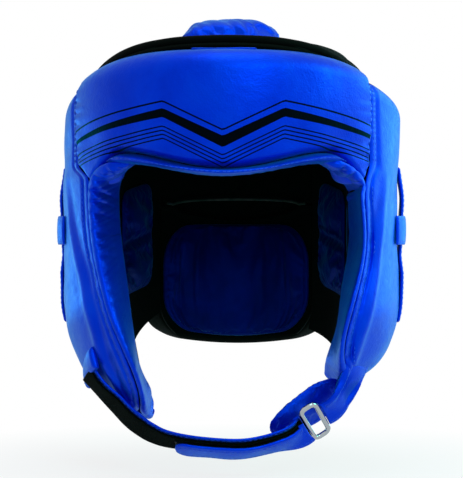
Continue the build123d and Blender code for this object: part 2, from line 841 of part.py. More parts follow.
def chin_ring():
    out = Vector(*RING_OUT).normalized()
    run = Vector(*RING_RUN)
    across = run.cross(out).normalized()
    lift = (STRAP_THICK + LOOP_THICK + HOOK_THICK) / 2
    plane = Plane(Vector(*RING_PLACE) + out * lift, x_dir=across, z_dir=across.cross(run) * -1)
    outline = plane * RectangleRounded(RING_LONG - 2 * RING_WIRE, RING_TALL - 2 * RING_WIRE, RING_CORNER)
    path = outline.wire()
    section = Plane(path @ 0, z_dir=path % 0) * Circle(RING_WIRE)
    return sweep(section, path=path)


def pillow_wire(centre, along, out, wide, thick):
    """Two arcs that meet at the pillow's side seams."""
    across = along.cross(out).normalized() * (wide / 2)
    lift = out.normalized() * (thick / 2)
    return closed_wire([centre - across, centre + across], [centre + lift, centre - lift])


def chin_pad():
    centres, outs = stations(CHIN_PAD_RUN)
    last = len(centres) - 1
    wires = []
    for index, centre in enumerate(centres):
        along = (centres[min(index + 1, last)] - centres[max(index - 1, 0)]).normalized()
        out = outs[index] - along * outs[index].dot(along)
        share = blend(PAD_END, 1 - PAD_END, index / last)
        swell = math.sin(math.pi * share) ** PAD_FULL
        wires.append(pillow_wire(
            centre, along, out, CHIN_PAD_WIDE * blend(PAD_NARROW, 1, swell), CHIN_PAD_THICK * swell))
    return loft(wires)


def keeper_patch():
    """Patch on the left cheek that the strap comes out of."""
    inner = wall(KEEPER_ANGLE) + GAP
    wires = []
    for step in range(KEEPER_STATIONS + 1):
        level = blend(KEEPER_BOTTOM, KEEPER_TOP, step / KEEPER_STATIONS)
        wires.append(lining_wire(
            -(KEEPER_ANGLE - KEEPER_HALF_ANGLE), -(KEEPER_ANGLE + KEEPER_HALF_ANGLE),
            inner, inner + KEEPER_THICK, level, KEEPER_SLOPE, 0.0))
    return loft(wires)


def make_chin():
    centres, outs = strap_stations()
    save("strap_keeper", keeper_patch())
    save("chin_strap", band(centres, outs, STRAP_WIDE, STRAP_THICK))
    lift = STRAP_THICK + GAP
    save("chin_loop_strip", band(centres, outs, LOOP_WIDE, LOOP_THICK, lift))
    lift += LOOP_THICK + TAIL_GAP
    tail = centres[TAIL_START:]
    tail_outs = outs[TAIL_START:]
    save("tail_hook_strip", band(tail, tail_outs, HOOK_WIDE, HOOK_THICK, lift))
    lift += HOOK_THICK + GAP
    save("strap_tail", band(tail, tail_outs, TAIL_WIDE, STRAP_THICK, lift, TAIL_SHIFT))
    save("chin_ring", chin_ring())
    near, near_outs = ring_approach(1)
    tab, tab_outs = stations(RING_TAB_RUN)
    save("ring_tab", band(
        near[::-1] + tab, near_outs + tab_outs, RING_TAB_WIDE, RING_TAB_THICK))
    save("chin_pad", chin_pad())


def make_crown():
    save("crown_cap", loft([cap_section(y) for y in CAP_STATIONS]))
    path = cap_binding(CAP_STATIONS[0] - CAP_BIND_RADIUS - GAP)
    section = Plane(path @ 0, z_dir=path % 0) * Circle(CAP_BIND_RADIUS)
    save("crown_binding", sweep(section, path=path, transition=Transition.ROUND))
    save("crown_pad", crown_pad())
    save("front_crown_tab", crown_tab(-1))
    save("rear_crown_tab", crown_tab(1))


os.makedirs("parts", exist_ok=True)
make_forehead()
make_brow_roll()
for side, name in ((-1, "left"), (1, "right")):
    make_side(side, name)
make_rear()
make_crown()
make_chin()
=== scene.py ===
# %% [markdown]
# # A boxing headgear, dressed
# The solids come packed as a frame that never moves. This lesson puts the visible leather,
# fabric, thread and metal round it. Sizes are in millimetres in the frame of the solids: the
# face looks along -Y, +X is on the right of the picture, +Z is up.
# %% Load the frame
import math
import bpy
import bmesh
import numpy as np
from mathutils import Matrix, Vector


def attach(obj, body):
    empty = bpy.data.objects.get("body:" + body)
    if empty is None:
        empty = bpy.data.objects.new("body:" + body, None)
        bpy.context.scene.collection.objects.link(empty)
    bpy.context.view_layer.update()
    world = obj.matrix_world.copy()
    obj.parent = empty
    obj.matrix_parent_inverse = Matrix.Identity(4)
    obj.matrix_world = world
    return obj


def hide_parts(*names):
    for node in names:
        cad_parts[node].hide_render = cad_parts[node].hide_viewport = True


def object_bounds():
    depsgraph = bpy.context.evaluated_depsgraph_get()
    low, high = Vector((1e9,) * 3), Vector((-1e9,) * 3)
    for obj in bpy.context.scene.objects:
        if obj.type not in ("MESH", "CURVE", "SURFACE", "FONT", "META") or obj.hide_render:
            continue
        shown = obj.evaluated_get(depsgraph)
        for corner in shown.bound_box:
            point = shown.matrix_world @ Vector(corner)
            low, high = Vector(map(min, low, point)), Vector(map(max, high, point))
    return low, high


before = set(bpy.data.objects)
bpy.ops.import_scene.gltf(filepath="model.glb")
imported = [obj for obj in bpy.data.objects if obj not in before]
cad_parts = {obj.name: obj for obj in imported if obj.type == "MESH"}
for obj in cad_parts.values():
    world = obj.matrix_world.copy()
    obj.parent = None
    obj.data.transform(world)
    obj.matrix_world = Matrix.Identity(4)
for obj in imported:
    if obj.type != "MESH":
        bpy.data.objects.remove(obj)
cad_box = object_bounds()

# %% [markdown]
# The padded wall goes round the head. A place on it is an angle from the front, a depth
# out from the lining, and a height. The cheeks and the nape draw in below the ears. The
# wall could be sculpted, but a formula keeps every piece seated on its neighbour.
# %% The wall
HALF_WIDTH, FRONT, REAR = 84.0, 98.0, 100.0
WALL_FRONT, WALL_SIDE, WALL_REAR = 30.0, 33.5, 30.0
RIM_ROLL, LINING, CROWN = 13.0, 2.5, 3.0
SEAMS = {1: 57.5, -1: 63.5}
SEAM_REAR = 138.0
SEAM_GAP = 0.3      # degrees that a panel stops short of its seam
ARC = 2.1           # mm of the wall's face to a degree
FOAM_IN = 2.9       # depth where the foam starts
FACE = 31.0         # depth near the leather's face, for lines of thread
FOAM_FILL, LINING_FILL = 0.8, 0.3
SIDES = ((-1, "left"), (1, "right"))


def mix(start, end, share):
    """The value that is a share of the way from start to end, in a straight line."""
    return start + (end - start) * share


def curl(height):
    """How far the wall draws in: a parabola below 40 mm under the ears."""
    return 17.5 * (np.maximum(0.0, -40.0 - height) / 56.0) ** 2


def wall(angle):
    """Thickness at an angle: the middle's, growing with the sine squared to the side's."""
    turn = np.radians(angle)
    middle = np.where(np.cos(turn) > 0, WALL_FRONT, WALL_REAR)
    return mix(middle, WALL_SIDE, np.sin(turn) ** 2)


def on_wall(angle, depth, height):
    """Point at an angle, a depth and a height: an ellipse in plan, grown by the depth."""
    angle, depth, height = np.broadcast_arrays(angle, depth, height)
    turn = np.radians(angle)
    reach = np.where(np.cos(turn) > 0, FRONT, REAR)
    x = (HALF_WIDTH - curl(height) + depth) * np.sin(turn)
    y = -(reach - curl(height) + depth) * np.cos(turn)
    return np.stack([x, y, height + 0.0 * x], -1)


def on_slant(angle, depth, level, slope):
    """Wall point on the plane z = level + slope * y, found by repeating the wall formula."""
    height = level + 0.0 * angle
    for _ in range(8):
        height = level + slope * on_wall(angle, depth, height)[..., 1]
    return on_wall(angle, depth, height)


def drop(distance, radius):
    """How far a rounded edge has drawn in at a distance from its end: a quarter circle."""
    short = radius - np.clip(distance, 0.0, radius)
    return radius - np.sqrt(np.maximum(radius ** 2 - short ** 2, 0.0))


def degrees(length, radius=115.0):
    """The angle whose arc has a length (mm) at a radius."""
    return np.degrees(length / radius)


print("width over the wall at the ears:", 2 * (HALF_WIDTH + wall(90.0)), "mm")


# %% [markdown]
# Leather over foam is never even. Long swells, slanting pulls and short gathers are sums
# of sines with fixed phases, so that each run gives the same folds. A groove or a ridge
# along a line is a bell curve of the distance to it.
# %% Folds
def swell(a, b, scale, height, phase=0.0):
    """Soft unevenness: three crossed sine waves whose periods don't share a factor."""
    one = np.sin(a / scale + 1.7 * np.sin(b / scale * 0.61 + phase))
    two = np.sin(b / scale * 0.83 + 2.1 * np.sin(a / scale * 0.47 + 2.0 * phase + 1.0))
    three = np.sin((a + b) / scale * 1.37 + phase * 3.0)
    return height * (one + two + 0.5 * three) / 2.5


def bell(distance, width):
    """Bell curve, e to the minus squared distance: 1 on a line, and 0 far from it."""
    return np.exp(-(distance / width) ** 2)


def ease(share):
    """A share held to 0..1, with a soft start and stop: the cubic 3t^2 - 2t^3."""
    share = np.clip(share, 0, 1)
    return share * share * (3 - 2 * share)


def smooth(stations, count):
    """Catmull-Rom curve: each run between two stations bends as its neighbours lie."""
    stations = np.asarray(stations, float)
    first, last = 2 * stations[:1] - stations[1:2], 2 * stations[-1:] - stations[-2:-1]
    padded = np.concatenate([first, stations, last])
    place = np.linspace(0, len(stations) - 1, count)
    run = np.minimum(place.astype(int), len(stations) - 2)
    t = (place - run)[:, None]
    a, b, c, d = (padded[run + k] for k in range(4))
    square, cube = 2 * a - 5 * b + 4 * c - d, 3 * b - a - 3 * c + d
    return 0.5 * (2 * b + (c - a) * t + square * t ** 2 + cube * t ** 3)


def unit(vectors):
    """Each vector divided by its own length."""
    return vectors / np.maximum(np.linalg.norm(vectors, axis=-1, keepdims=True), 1e-9)


def gathers(along, step, phase=0.0):
    """Pinched folds along a seam: sharp valleys between round ridges, with a wandering step."""
    turn = along / step
    wave = turn + 0.35 * np.sin(turn * 0.37 + phase) + 0.2 * np.sin(turn * 1.9 + phase)
    return np.abs(np.sin(np.pi * wave)) - 0.64


folds = gathers(np.linspace(0.0, 90.0, 900), 9.0)
print(f"gathers run from {folds.min():.2f} to {folds.max():.2f}")

# %% [markdown]
# A piece is a grid of points put into a mesh. Closed pieces are a tube of sections with
# an end cap at both ends, or two sheets joined round their border. Points that fall
# together are merged before the normals are turned outwards. Stitches are real spindles of
# thread, because a painted row would look flat where the light grazes it.
# %% Meshes
def quads(rows, cols, close_cols=False):
    """Four corners of each cell of a grid, row after row."""
    row = np.arange(rows - 1)[:, None] * cols
    col = np.arange(cols if close_cols else cols - 1)[None, :]
    side = (col + 1) % cols
    return np.stack([row + col, row + side, row + cols + side, row + cols + col], -1).reshape(-1, 4)


def put(name, data):
    """A new object in the scene, at the origin."""
    thing = bpy.data.objects.new(name, data)
    bpy.context.scene.collection.objects.link(thing)
    return thing


def piece(name, points, faces, nodes=(), look="blue_leather", body="shell", fill=None, uv=None,
          lined=None):
    """Puts points (mm) and faces into a clean mesh at the origin that rides on a body. fill is
    not used, and lined says which faces wear the lining instead of the look."""
    mesh = bpy.data.meshes.new(name)
    mesh.from_pydata((points.reshape(-1, 3) * 0.001).tolist(), [], [list(map(int, f)) for f in faces])
    if uv is not None:
        layer = mesh.uv_layers.new(name="cut")
        index = np.zeros(len(mesh.loops), np.int64)
        mesh.loops.foreach_get("vertex_index", index)
        layer.data.foreach_set("uv", uv.reshape(-1, 2)[index].astype(np.float32).ravel())
    if lined is not None:
        mesh.polygons.foreach_set("material_index", lined.astype(np.int32))
    work = bmesh.new()
    work.from_mesh(mesh)
    bmesh.ops.remove_doubles(work, verts=work.verts, dist=2e-6)
    bmesh.ops.dissolve_degenerate(work, edges=work.edges, dist=1e-6)
    bmesh.ops.recalc_face_normals(work, faces=work.faces)
    work.to_mesh(mesh)
    work.free()
    mesh.polygons.foreach_set("use_smooth", np.full(len(mesh.polygons), True))
    finish, slot = LOOKS[look]
    mesh.materials.append(finish)
    if lined is not None:
        mesh.materials.append(LOOKS["black_lining"][0])
    thing = put(name, mesh)
    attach(thing, body)
    if nodes:
        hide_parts(*nodes)
    print(f"{name}: {len(mesh.polygons)} faces")
    return thing


def tube(name, sections, nodes=(), uv=None, **wear):
    """Sections (rows, cols, 3) joined in a closed tube, its ends closed by fans of triangles."""
    rows, cols = sections.shape[:2]
    ends = np.stack([sections[0].mean(0), sections[-1].mean(0)])
    col = np.arange(cols)
    first = np.stack([np.full(cols, rows * cols), (col + 1) % cols, col], -1)
    last = np.stack([np.full(cols, rows * cols + 1), col, (col + 1) % cols], -1)
    last[:, 1:] += (rows - 1) * cols
    if uv is not None:
        uv = np.concatenate([uv.reshape(-1, 2), uv[[0, -1], 0]])
    return piece(name, np.concatenate([sections.reshape(-1, 3), ends]),
                 [*quads(rows, cols, True), *first, *last], nodes, uv=uv, **wear)


def shell(name, outer, inner, nodes=(), ring=False, under=None, **wear):
    """Two sheets (rows, cols, 3) with a strip between their borders. A ring closes on itself.
    under marks points of the outer sheet that are lining, as the inner sheet and strip then are."""
    rows, cols = outer.shape[:2]
    if ring:
        outer, inner = (np.concatenate([s, s[:, :1]], 1) for s in (outer, inner))
        cols += 1
    count = rows * cols
    grid = np.arange(count).reshape(rows, cols)
    faces = [quads(rows, cols), quads(rows, cols)[:, ::-1] + count]
    for line in [grid[0], grid[-1]] + ([] if ring else [grid[:, 0], grid[:, -1]]):
        faces.append(np.stack([line[:-1], line[1:], line[1:] + count, line[:-1] + count], -1))
    lined = None
    if under is not None:
        marked = np.concatenate([under, under[:, :1]], 1) if ring else under
        own = marked.ravel()[faces[0]].all(1)
        lined = np.concatenate([own, np.ones(sum(len(f) for f in faces[1:]), bool)])
    points = np.concatenate([outer.reshape(-1, 3), inner.reshape(-1, 3)])
    return piece(name, points, np.concatenate(faces), nodes, lined=lined, **wear)


def rim_of(sheet):
    """The four border lines of a sheet's points."""
    return np.concatenate([sheet[0], sheet[-1], sheet[:, 0], sheet[:, -1]])


def circle(count):
    """Even angles once round; the last stops one step short of the first."""
    return np.linspace(0, 2 * np.pi, count, endpoint=False)


def walked(line):
    """Distance along a line of points, at each of them."""
    return np.concatenate([[0], np.cumsum(np.linalg.norm(np.diff(line, axis=0), axis=1))])


def stitches(name, lines, on, body="shell", radius=0.3):
    """Rows of stitches laid on a piece. Each line (count, 3) is cut into even steps, and at each
    a short spindle of five rings lies along the line, half sunk in the nearest leather."""
    step, long, sunk = 3.6, 2.4, 0.03
    turn = circle(6)
    along = np.array([-1.0, -0.72, 0.0, 0.72, 1.0]) * long / 2
    wide = np.array([0.0, 0.8, 1.0, 0.8, 0.0]) * radius
    points = []
    for line in lines:
        far = walked(line)
        places = np.arange(step / 2, far[-1], step)
        spot = np.stack([np.interp(places, far, line[:, k]) for k in range(3)], 1)
        hits = [on.closest_point_on_mesh(tuple(s * 0.001))[1:3] for s in spot]
        spot, up = np.array([h[0] for h in hits]) * 1000.0, np.array([h[1] for h in hits])
        run = np.gradient(spot, axis=0)
        run = unit(run - up * (run * up).sum(-1, keepdims=True))
        across = np.cross(run, up)
        spot, up, run, across = (v[:, None, None] for v in (spot + up * sunk, up, run, across))
        spoke = across * np.cos(turn)[:, None] + up * np.sin(turn)[:, None]
        points.append(spot + run * along[:, None, None] + spoke * wide[:, None, None])
    points = np.concatenate(points)
    faces = (quads(5, 6, True)[None] + 30 * np.arange(len(points))[:, None, None]).reshape(-1, 4)
    return piece(name, points.reshape(-1, 3), faces, look="thread", body=body)


def fine(count, sharp=0.9):
    """Shares from 0 to 1 that crowd together towards both ends."""
    even = np.linspace(0.0, 1.0, count)
    return mix(even, 0.5 - 0.5 * np.cos(np.pi * even), sharp)


# %% [markdown]
# Leather shows a fine pebble grain, soft creases, and a shine that is uneven where hands
# have rubbed it. Three scales of procedural texture do this: cells for the grain, and two
# noises for creases and rub.
# %% Material tools
def into(tree, socket, value):
    """Links another node's output to a socket, or sets the socket; a colour is opaque."""
    if isinstance(value, bpy.types.NodeSocket):
        tree.links.new(value, socket)
    else:
        socket.default_value = (*value, 1.0) if socket.type == "RGBA" else value


def feed(tree, made, **values):
    """Sets a node's properties and inputs by name."""
    for key, value in values.items():
        if hasattr(made, key):
            setattr(made, key, value)
        else:
            into(tree, made.inputs[key.replace("_", " ")], value)
    return made


def node(tree, kind, **values):
    """A new shader node, its properties and inputs set by name."""
    return feed(tree, tree.nodes.new("ShaderNode" + kind), **values)


def joined(tree, kind, *values, output=0, **properties):
    """Output of a new node whose first inputs take the values in order."""
    made = node(tree, kind, **properties)
    for socket, value in zip(made.inputs, values):
        into(tree, socket, value)
    return made.outputs[output]


def maths(tree, operation, *values, clamp=False):
    """Output of a node that works out one sum from the values."""
    return joined(tree, "Math", *values, operation=operation, use_clamp=clamp)


def material(name):
    """A new material, its tree, its shader, and the place that its textures read."""
    made = bpy.data.materials.new(name)
    made.use_nodes = True
    tree = made.node_tree
    return made, tree, tree.nodes["Principled BSDF"], node(tree, "TexCoord").outputs["Object"]


def ramp(tree, source, stops):
    """Colour ramp from a number; stops are (place, colour)."""
    made = node(tree, "ValToRGB")
    into(tree, made.inputs[0], source)
    line = made.color_ramp
    while len(line.elements) < len(stops):
        line.elements.new(0.5)
    for element, (place, colour) in zip(line.elements, stops):
        element.position = place
        element.color = (*colour, 1.0)
    return made.outputs[0]


def shine(tree, texture, low, high):
    """Roughness that wanders between two values as the texture does."""
    return ramp(tree, texture.outputs[0], [(0.3, (low,) * 3), (0.7, (high,) * 3)])


def relief(tree, *layers):
    """Bumps laid on each other; a layer is (height, strength, distance in metres)."""
    below = {}
    for height, strength, distance in layers:
        made = node(tree, "Bump", Height=height, Strength=strength, Distance=distance, **below)
        below = {"Normal": made.outputs[0]}
    return made.outputs[0]


def linear(red, green, blue):
    """A colour as seen on screen, 0 to 255, as the linear light that a shader needs."""
    part = np.array([red, green, blue]) / 255.0
    light = np.where(part > 0.04045, ((part + 0.055) / 1.055) ** 2.4, part / 12.92)
    return tuple(float(v) for v in light)


# %% Leather
BLUE, DEEP, PALE = linear(0, 40, 216), linear(0, 30, 204), linear(0, 52, 222)
INK = linear(4, 6, 12)
GLOSS, ROUGH = 0.42, 0.4


def leather(name, base, deep, pale, rough, grain=0.22, crease=0.4, satin=0.52, gloss=GLOSS):
    """Grained leather: colour from noise between deep and pale, bump from cells and noises. Its
    satin finish reflects in its own blue, cyan at the edges, as a metal would; satin is the share."""
    made, tree, shader, place = material(name)
    cells = node(tree, "TexVoronoi", Vector=place, Scale=820.0, Randomness=0.9)
    broad = node(tree, "TexNoise", Vector=place, Scale=26.0, Detail=5.0, Roughness=0.55, Distortion=0.6)
    tight = node(tree, "TexNoise", Vector=place, Scale=150.0, Detail=4.0, Roughness=0.6, Distortion=1.2)
    colour = ramp(tree, broad.outputs[0], [(0.30, deep), (0.50, base), (0.72, pale)])
    feed(tree, shader, Base_Color=colour, Roughness=shine(tree, tight, rough - 0.05, rough + 0.08),
         Metallic=satin, Specular_IOR_Level=gloss, Specular_Tint=(0.02, 0.8, 0.85),
         Sheen_Weight=0.35, Sheen_Roughness=0.4, Sheen_Tint=(0.02, 0.5, 1.0),
         Normal=relief(tree, (broad.outputs[0], crease, 0.0022), (tight.outputs[0], crease * 0.7, 0.0006),
                       (cells.outputs["Distance"], grain, 0.00035)))
    return made, tree, shader, colour


# %% [markdown]
# The forehead carries printed stripes. Ink has no thickness that the eye can see, so it is
# a dark colour where the piece's map says so. The map holds the broad stripe's half width and
# the height over its line; a stripe is a threshold of that height, with a soft border.
# %% Printed leather
INK_SCALE = 20.0, 100.0
THIN = 0.55
STRIPES = (0.0, None), (-8.6, THIN), (-11.2, THIN), (-13.8, THIN), (-16.4, THIN), (7.4, 0.7)


def printed_leather():
    """Leather with one broad stripe, whose half width the map gives, and thin ones at heights
    over it; below it there are four."""
    made, tree, shader, colour = leather("printed_leather", BLUE, DEEP, PALE, ROUGH)
    cut = node(tree, "UVMap", uv_map="cut").outputs[0]
    split = node(tree, "SeparateXYZ", Vector=cut)
    half, height = (maths(tree, "MULTIPLY", maths(tree, "SUBTRACT", split.outputs[k], 0.5), scale)
                    for k, scale in enumerate(INK_SCALE))
    ink = 0.0
    for centre, width in STRIPES:
        away = maths(tree, "ABSOLUTE", maths(tree, "SUBTRACT", height, centre))
        edge = maths(tree, "SUBTRACT", half if width is None else width, away)
        ink = maths(tree, "MAXIMUM", ink, maths(tree, "MULTIPLY", edge, 4.0, clamp=True))
    printed = node(tree, "Mix", data_type="RGBA")
    for socket, value in ((0, ink), (6, colour), (7, INK)):
        into(tree, printed.inputs[socket], value)
    gloss = maths(tree, "MULTIPLY", maths(tree, "SUBTRACT", 1.0, ink), GLOSS)
    feed(tree, shader, Base_Color=printed.outputs[2], Specular_IOR_Level=gloss)
    return made


# %% [markdown]
# The lining is a short black knit with a little sheen, the loop strip a matted pile, the
# hook strip rows of tiny stiff hooks, and the binding a ribbed tape. Each is a bump at
# its own scale over a nearly black colour. Thread and metal are plain and shiny.
# %% Fabrics and metal
def fabric(name, dark, light, scale, depth, sheen, rough=0.85, ribs=0.0):
    """Knit or pile: cells and noise on Object coordinates, and a wave for a tape's ribs."""
    made, tree, shader, place = material(name)
    noise = node(tree, "TexNoise", Vector=place, Scale=scale * 0.35, Detail=6.0, Roughness=0.75)
    cells = node(tree, "TexVoronoi", Vector=place, Scale=scale, Randomness=0.55)
    broad = node(tree, "TexNoise", Vector=place, Scale=18.0, Detail=4.0, Distortion=0.8)
    grey = maths(tree, "ADD", maths(tree, "MULTIPLY", noise.outputs[0], 0.6),
                 maths(tree, "MULTIPLY", broad.outputs[0], 0.4))
    layers = [(broad.outputs[0], 0.4, 0.002), (cells.outputs["Distance"], 0.7, depth),
              (noise.outputs[0], 0.5, depth)]
    if ribs:
        wave = node(tree, "TexWave", Vector=place, Scale=ribs, Distortion=0.5)
        layers.append((wave.outputs[0], 0.5, depth))
    feed(tree, shader, Base_Color=ramp(tree, grey, [(0.35, dark), (0.7, light)]), Roughness=rough,
         Specular_IOR_Level=0.03, Sheen_Weight=sheen, Sheen_Roughness=0.4, Normal=relief(tree, *layers))
    return made


def plain(name, colour, rough, metallic=0.0):
    """Thread, metal, or the slot's painted-highlight cord: one colour, with a fine unevenness in its
    shine.
    """
    made, tree, shader, place = material(name)
    noise = node(tree, "TexNoise", Vector=place, Scale=120.0, Detail=3.0)
    feed(tree, shader, Base_Color=colour, Metallic=metallic,
         Roughness=shine(tree, noise, rough * 0.7, rough * 1.4),
         Normal=relief(tree, (noise.outputs[0], 0.15, 0.0002)))
    return made


LOOKS = {   # what a piece wears: its material and its slot
    "blue_leather": (leather("blue_leather", BLUE, DEEP, PALE, ROUGH)[0], "blue_leather"),
    "printed_leather": (printed_leather(), "blue_leather"),
    # The inner pads' leather is dark blue, drawn darker still as painted shade of the headgear's inside.
    "pad_leather": (leather("pad_leather", linear(0, 10, 104), linear(0, 6, 82), linear(0, 16, 120),
                            0.5, 0.2, 0.3, 0.3, 0.1)[0], "pad_leather"),
    # The slot's lip cord is the lining's knit, drawn lighter grey-green as a painted highlight.
    "painted_lip_highlight": (plain("painted_lip_highlight", linear(10, 40, 30), 0.8), "black_lining"),
    "thread": (plain("thread", linear(20, 84, 236), 0.5), None),
}
for name, *makeup in (
        ("black_lining", linear(0, 4, 3), linear(6, 17, 12), 1100.0, 0.0003, 0.02),
        ("loop_fabric", linear(0, 3, 1), linear(7, 14, 9), 900.0, 0.0014, 0.03, 0.95),
        ("hook_fabric", linear(4, 5, 8), linear(26, 30, 36), 620.0, 0.0007, 0.05, 0.5),
        ("black_binding", linear(0, 2, 1), linear(3, 8, 5), 1400.0, 0.0002, 0.0, 0.7, 420.0)):
    LOOKS[name] = fabric(name, *makeup), name
ring_metal = plain("ring_metal", linear(168, 173, 178), 0.16, 1.0)
print("materials:", len(bpy.data.materials))

# %% [markdown]
# The forehead is one padded panel from seam to seam. On the real one, leather is pulled
# over foam and turned under at the rim and at the crease over the brow. It could be a box
# with bevels, but a loop of depth and height, carried round the head, keeps the rim's
# round top, the crowned face and the tucked crease in one skin.
# %% Forehead
CORNER = [38.0, 43.0, 47.5, 51.0, 53.0, 54.0], [50.4, 48.8, 46.4, 42.2, 37.6, 36.0]     # angles, heights


def rim_height(angle):
    """Top of the rim: it falls away from the middle with the cosine of the angle."""
    return 122.3 - 36.0 * np.maximum(0.0, 1.0 - np.cos(np.radians(angle))) ** 1.78


def brow_bottom(angle):
    """Lower edge of the brow roll: lowest over the nose, a sine squared to both sides."""
    return 40.3 + 9.0 * np.sin(np.radians(np.minimum(2.2 * np.abs(angle), 90.0))) ** 2


def crease_height(angle):
    """Where the forehead meets the roll, tallest over the eyes and thin at the seams."""
    return (brow_bottom(angle) + 5.0 + 3.5 * np.sin(np.radians(1.5 * angle)) ** 2
            - 6.0 * (np.abs(angle) / 63.5) ** 6)


def corner_share(angle):
    """0 over the eyes, 1 near the seams, where the forehead comes down over the roll's ends."""
    return ease((np.abs(angle) - 38.0) / 12.0)


def forehead_bottom(angle):
    """The crease over the eyes; then down along the roll's round corner, and back up to the seam."""
    seam = np.where(angle > 0, SEAMS[1], SEAMS[-1])
    corner = np.interp(np.abs(angle), *CORNER)
    slanting = corner + 12.5 * np.clip((np.abs(angle) - CORNER[0][-1]) / (seam - CORNER[0][-1]), 0, 1)
    return mix(crease_height(angle) + 0.3, slanting, corner_share(angle))


def forehead_angles(gap, shares):
    """Shares from 0 to 1 to angles from seam to seam, a gap short of both."""
    return mix(gap - SEAMS[-1], SEAMS[1] - gap, shares)


def seam_away(angle, gap=0.0):
    """Millimetres along the wall to the nearer of the forehead's two seams."""
    return np.minimum(SEAMS[1] - gap - angle, angle + SEAMS[-1] - gap) * ARC


def wall_loop(face, turn):
    """Loop round a wall's section: the face upwards, over the top, the inner side down, under.
    Returns p (-1 inner, 1 outer), q (0 bottom, 1 top) and r (-1 below, 1 over, 0 between)."""
    up = np.linspace(0.0, 1.0, face, endpoint=False)
    arc = np.linspace(0.0, np.pi, turn, endpoint=False)
    p = np.concatenate([up * 0 + 1, np.cos(arc), up * 0 - 1, -np.cos(arc)])
    q = np.concatenate([up, arc * 0 + 1, 1 - up, arc * 0])
    r = np.concatenate([up * 0, np.sin(arc), up * 0, -np.sin(arc)])
    return p, q, r


def wall_sections(angle, inset, inner, outer, bottom, top, low_round, high_round, loop):
    """Depth and height of each loop point at each angle, drawn in all round by the inset."""
    p, q, r = (part[None, :] for part in loop)
    angle, inset, inner, outer, bottom, top, low_round, high_round = (
        np.broadcast_to(v, angle.shape)[:, None]
        for v in (angle, inset, inner, outer, bottom, top, low_round, high_round))
    depth = mix(inner + inset, outer - inset, (p + 1) / 2)
    low, high = bottom + low_round, top - high_round
    height = mix(low, high, q) + np.where(r > 0, r * (high_round - inset), r * (low_round - inset))
    return angle + 0 * p, depth, height


def forehead_face(angle, height):
    """How far the face stands out: its crown, soft swells, and a pinch along both seams."""
    share = np.clip((height - crease_height(angle)) / (rim_height(angle) - crease_height(angle)), 0, 1)
    ends = seam_away(angle)
    crown = 3.4 * (1 - (2 * share - 1) ** 2) * mix(0.5, 1.0, np.clip(ends / 50.0, 0, 1))
    tucks = gathers(height, 9.0, 1.0) * bell(ends, 12.0)
    sag = 0.9 * bell(share - 0.16, 0.10) * np.sin(angle / 6.0 + 0.8) ** 2
    return crown + swell(angle * 2.0, height, 21.0, 1.1, 0.4) + tucks - sag


angles = forehead_angles(SEAM_GAP, fine(150, 0.55))
loop = wall_loop(44, 20)
a, d, h = wall_sections(angles, drop(seam_away(angles, SEAM_GAP), 3.0), FOAM_IN, wall(angles) - CROWN,
                        forehead_bottom(angles), rim_height(angles), 6.0, RIM_ROLL, loop)
d = d + forehead_face(a, h) * np.clip(loop[0], 0, 1)


def stripe_line(angle):
    """Height of the broad stripe: level at the seams, rising inwards, then a plain chevron."""
    away = np.abs(angle)
    side = 64.0 + 17.0 * np.clip((62.0 - away) / 42.0, 0, 1) ** 0.8
    return np.where(away < 20.0, mix(62.0, 81.0, away / 20.0), side)


half = 1.2 + 2.6 * np.clip((64.0 - np.abs(a)) / 64.0, 0, 1)
height = h - stripe_line(a) + 200.0 * (loop[0][None, :] < 0.3)
forehead = tube("forehead_cushion", on_wall(a, d, h), ["forehead_skin", "forehead_foam"],
                np.stack([half, height], -1) / INK_SCALE + 0.5, look="printed_leather", fill=FOAM_FILL)

# %% [markdown]
# The brow roll is a separate padded lip sewn under the forehead. It looks stuffed, with
# short puckers where its leather turns round the foam, so its loop is round all over and
# its puckers are gathers along the angle.
# %% Brow roll
angles = forehead_angles(SEAM_GAP, fine(260, 0.3))
thin = corner_share(angles)
bottom = brow_bottom(angles) + 0.6 * thin
top = mix(crease_height(angles) - 0.1, bottom + 1.2, thin)
loop = wall_loop(12, 18)
a, d, h = wall_sections(angles, drop(seam_away(angles, SEAM_GAP), 2.5), -1.2, wall(angles) - CROWN + 0.8,
                        bottom, top, mix(3.4, 0.6, thin), mix(3.4, 0.6, thin), loop)
puckers = gathers(a * 2.1, 11.0, 0.6) * (0.25 + 0.5 * np.sin(np.radians(a * 3.1 + 40)) ** 2)
d = d + (1.4 * bell(loop[1] - 0.5, 0.7) + puckers - 7.0 * corner_share(a)) * np.clip(loop[0], 0, 1)
h = h + 0.45 * puckers * np.clip(-loop[2], 0, 1) + swell(a * 2.1, d, 16.0, 0.35)
brow = tube("brow_cushion", on_wall(a, d, h), ["brow_roll"], fill=FOAM_FILL)


# %% [markdown]
# A side panel runs from the rim down to the tip of the cheek, with an ear opening through
# it. Cutting the opening with a boolean leaves ragged triangles in the leather, so the
# grid is made of rays: each goes from the opening's edge to the panel's border, and the
# border walks round the panel. The levels fan from the rim's slope to the cheek's.
# %% Side panel
RIM_EAR, RIM_SLOPE, FACE_REACH = 93.0, -0.24, 80.0
TIPS, TIP_SLOPES = {1: -87.0, -1: -93.0}, {1: 0.28, -1: 0.52}
EDGE = {    # height at the face, angle of the cheek's edge on its face, lean of the edge inwards
    -1: np.array([(-138, 54.5, 20), (-131, 50.0, 20), (-124, 46.4, 20), (-111, 41.2, 19),
                  (-100, 38.4, 18), (-91, 36.8, 17), (-77, 37.5, 15), (-63, 40.3, 11), (-47, 43.0, 8),
                  (-25, 47.5, 7.5), (-10, 50.8, 7), (10, 53.5, 7), (40, 54.5, 6)]),
    1: np.array([(-110, 65.0, 17), (-101, 58.8, 17), (-93, 53.6, 17), (-85, 49.4, 17),
                 (-78, 47.0, 16), (-62, 45.4, 16), (-50, 47.0, 16.5), (-37, 49.0, 18),
                 (-25, 51.3, 19), (-10, 53.5, 20), (10, 54.2, 20), (40, 54.0, 18)]),
}
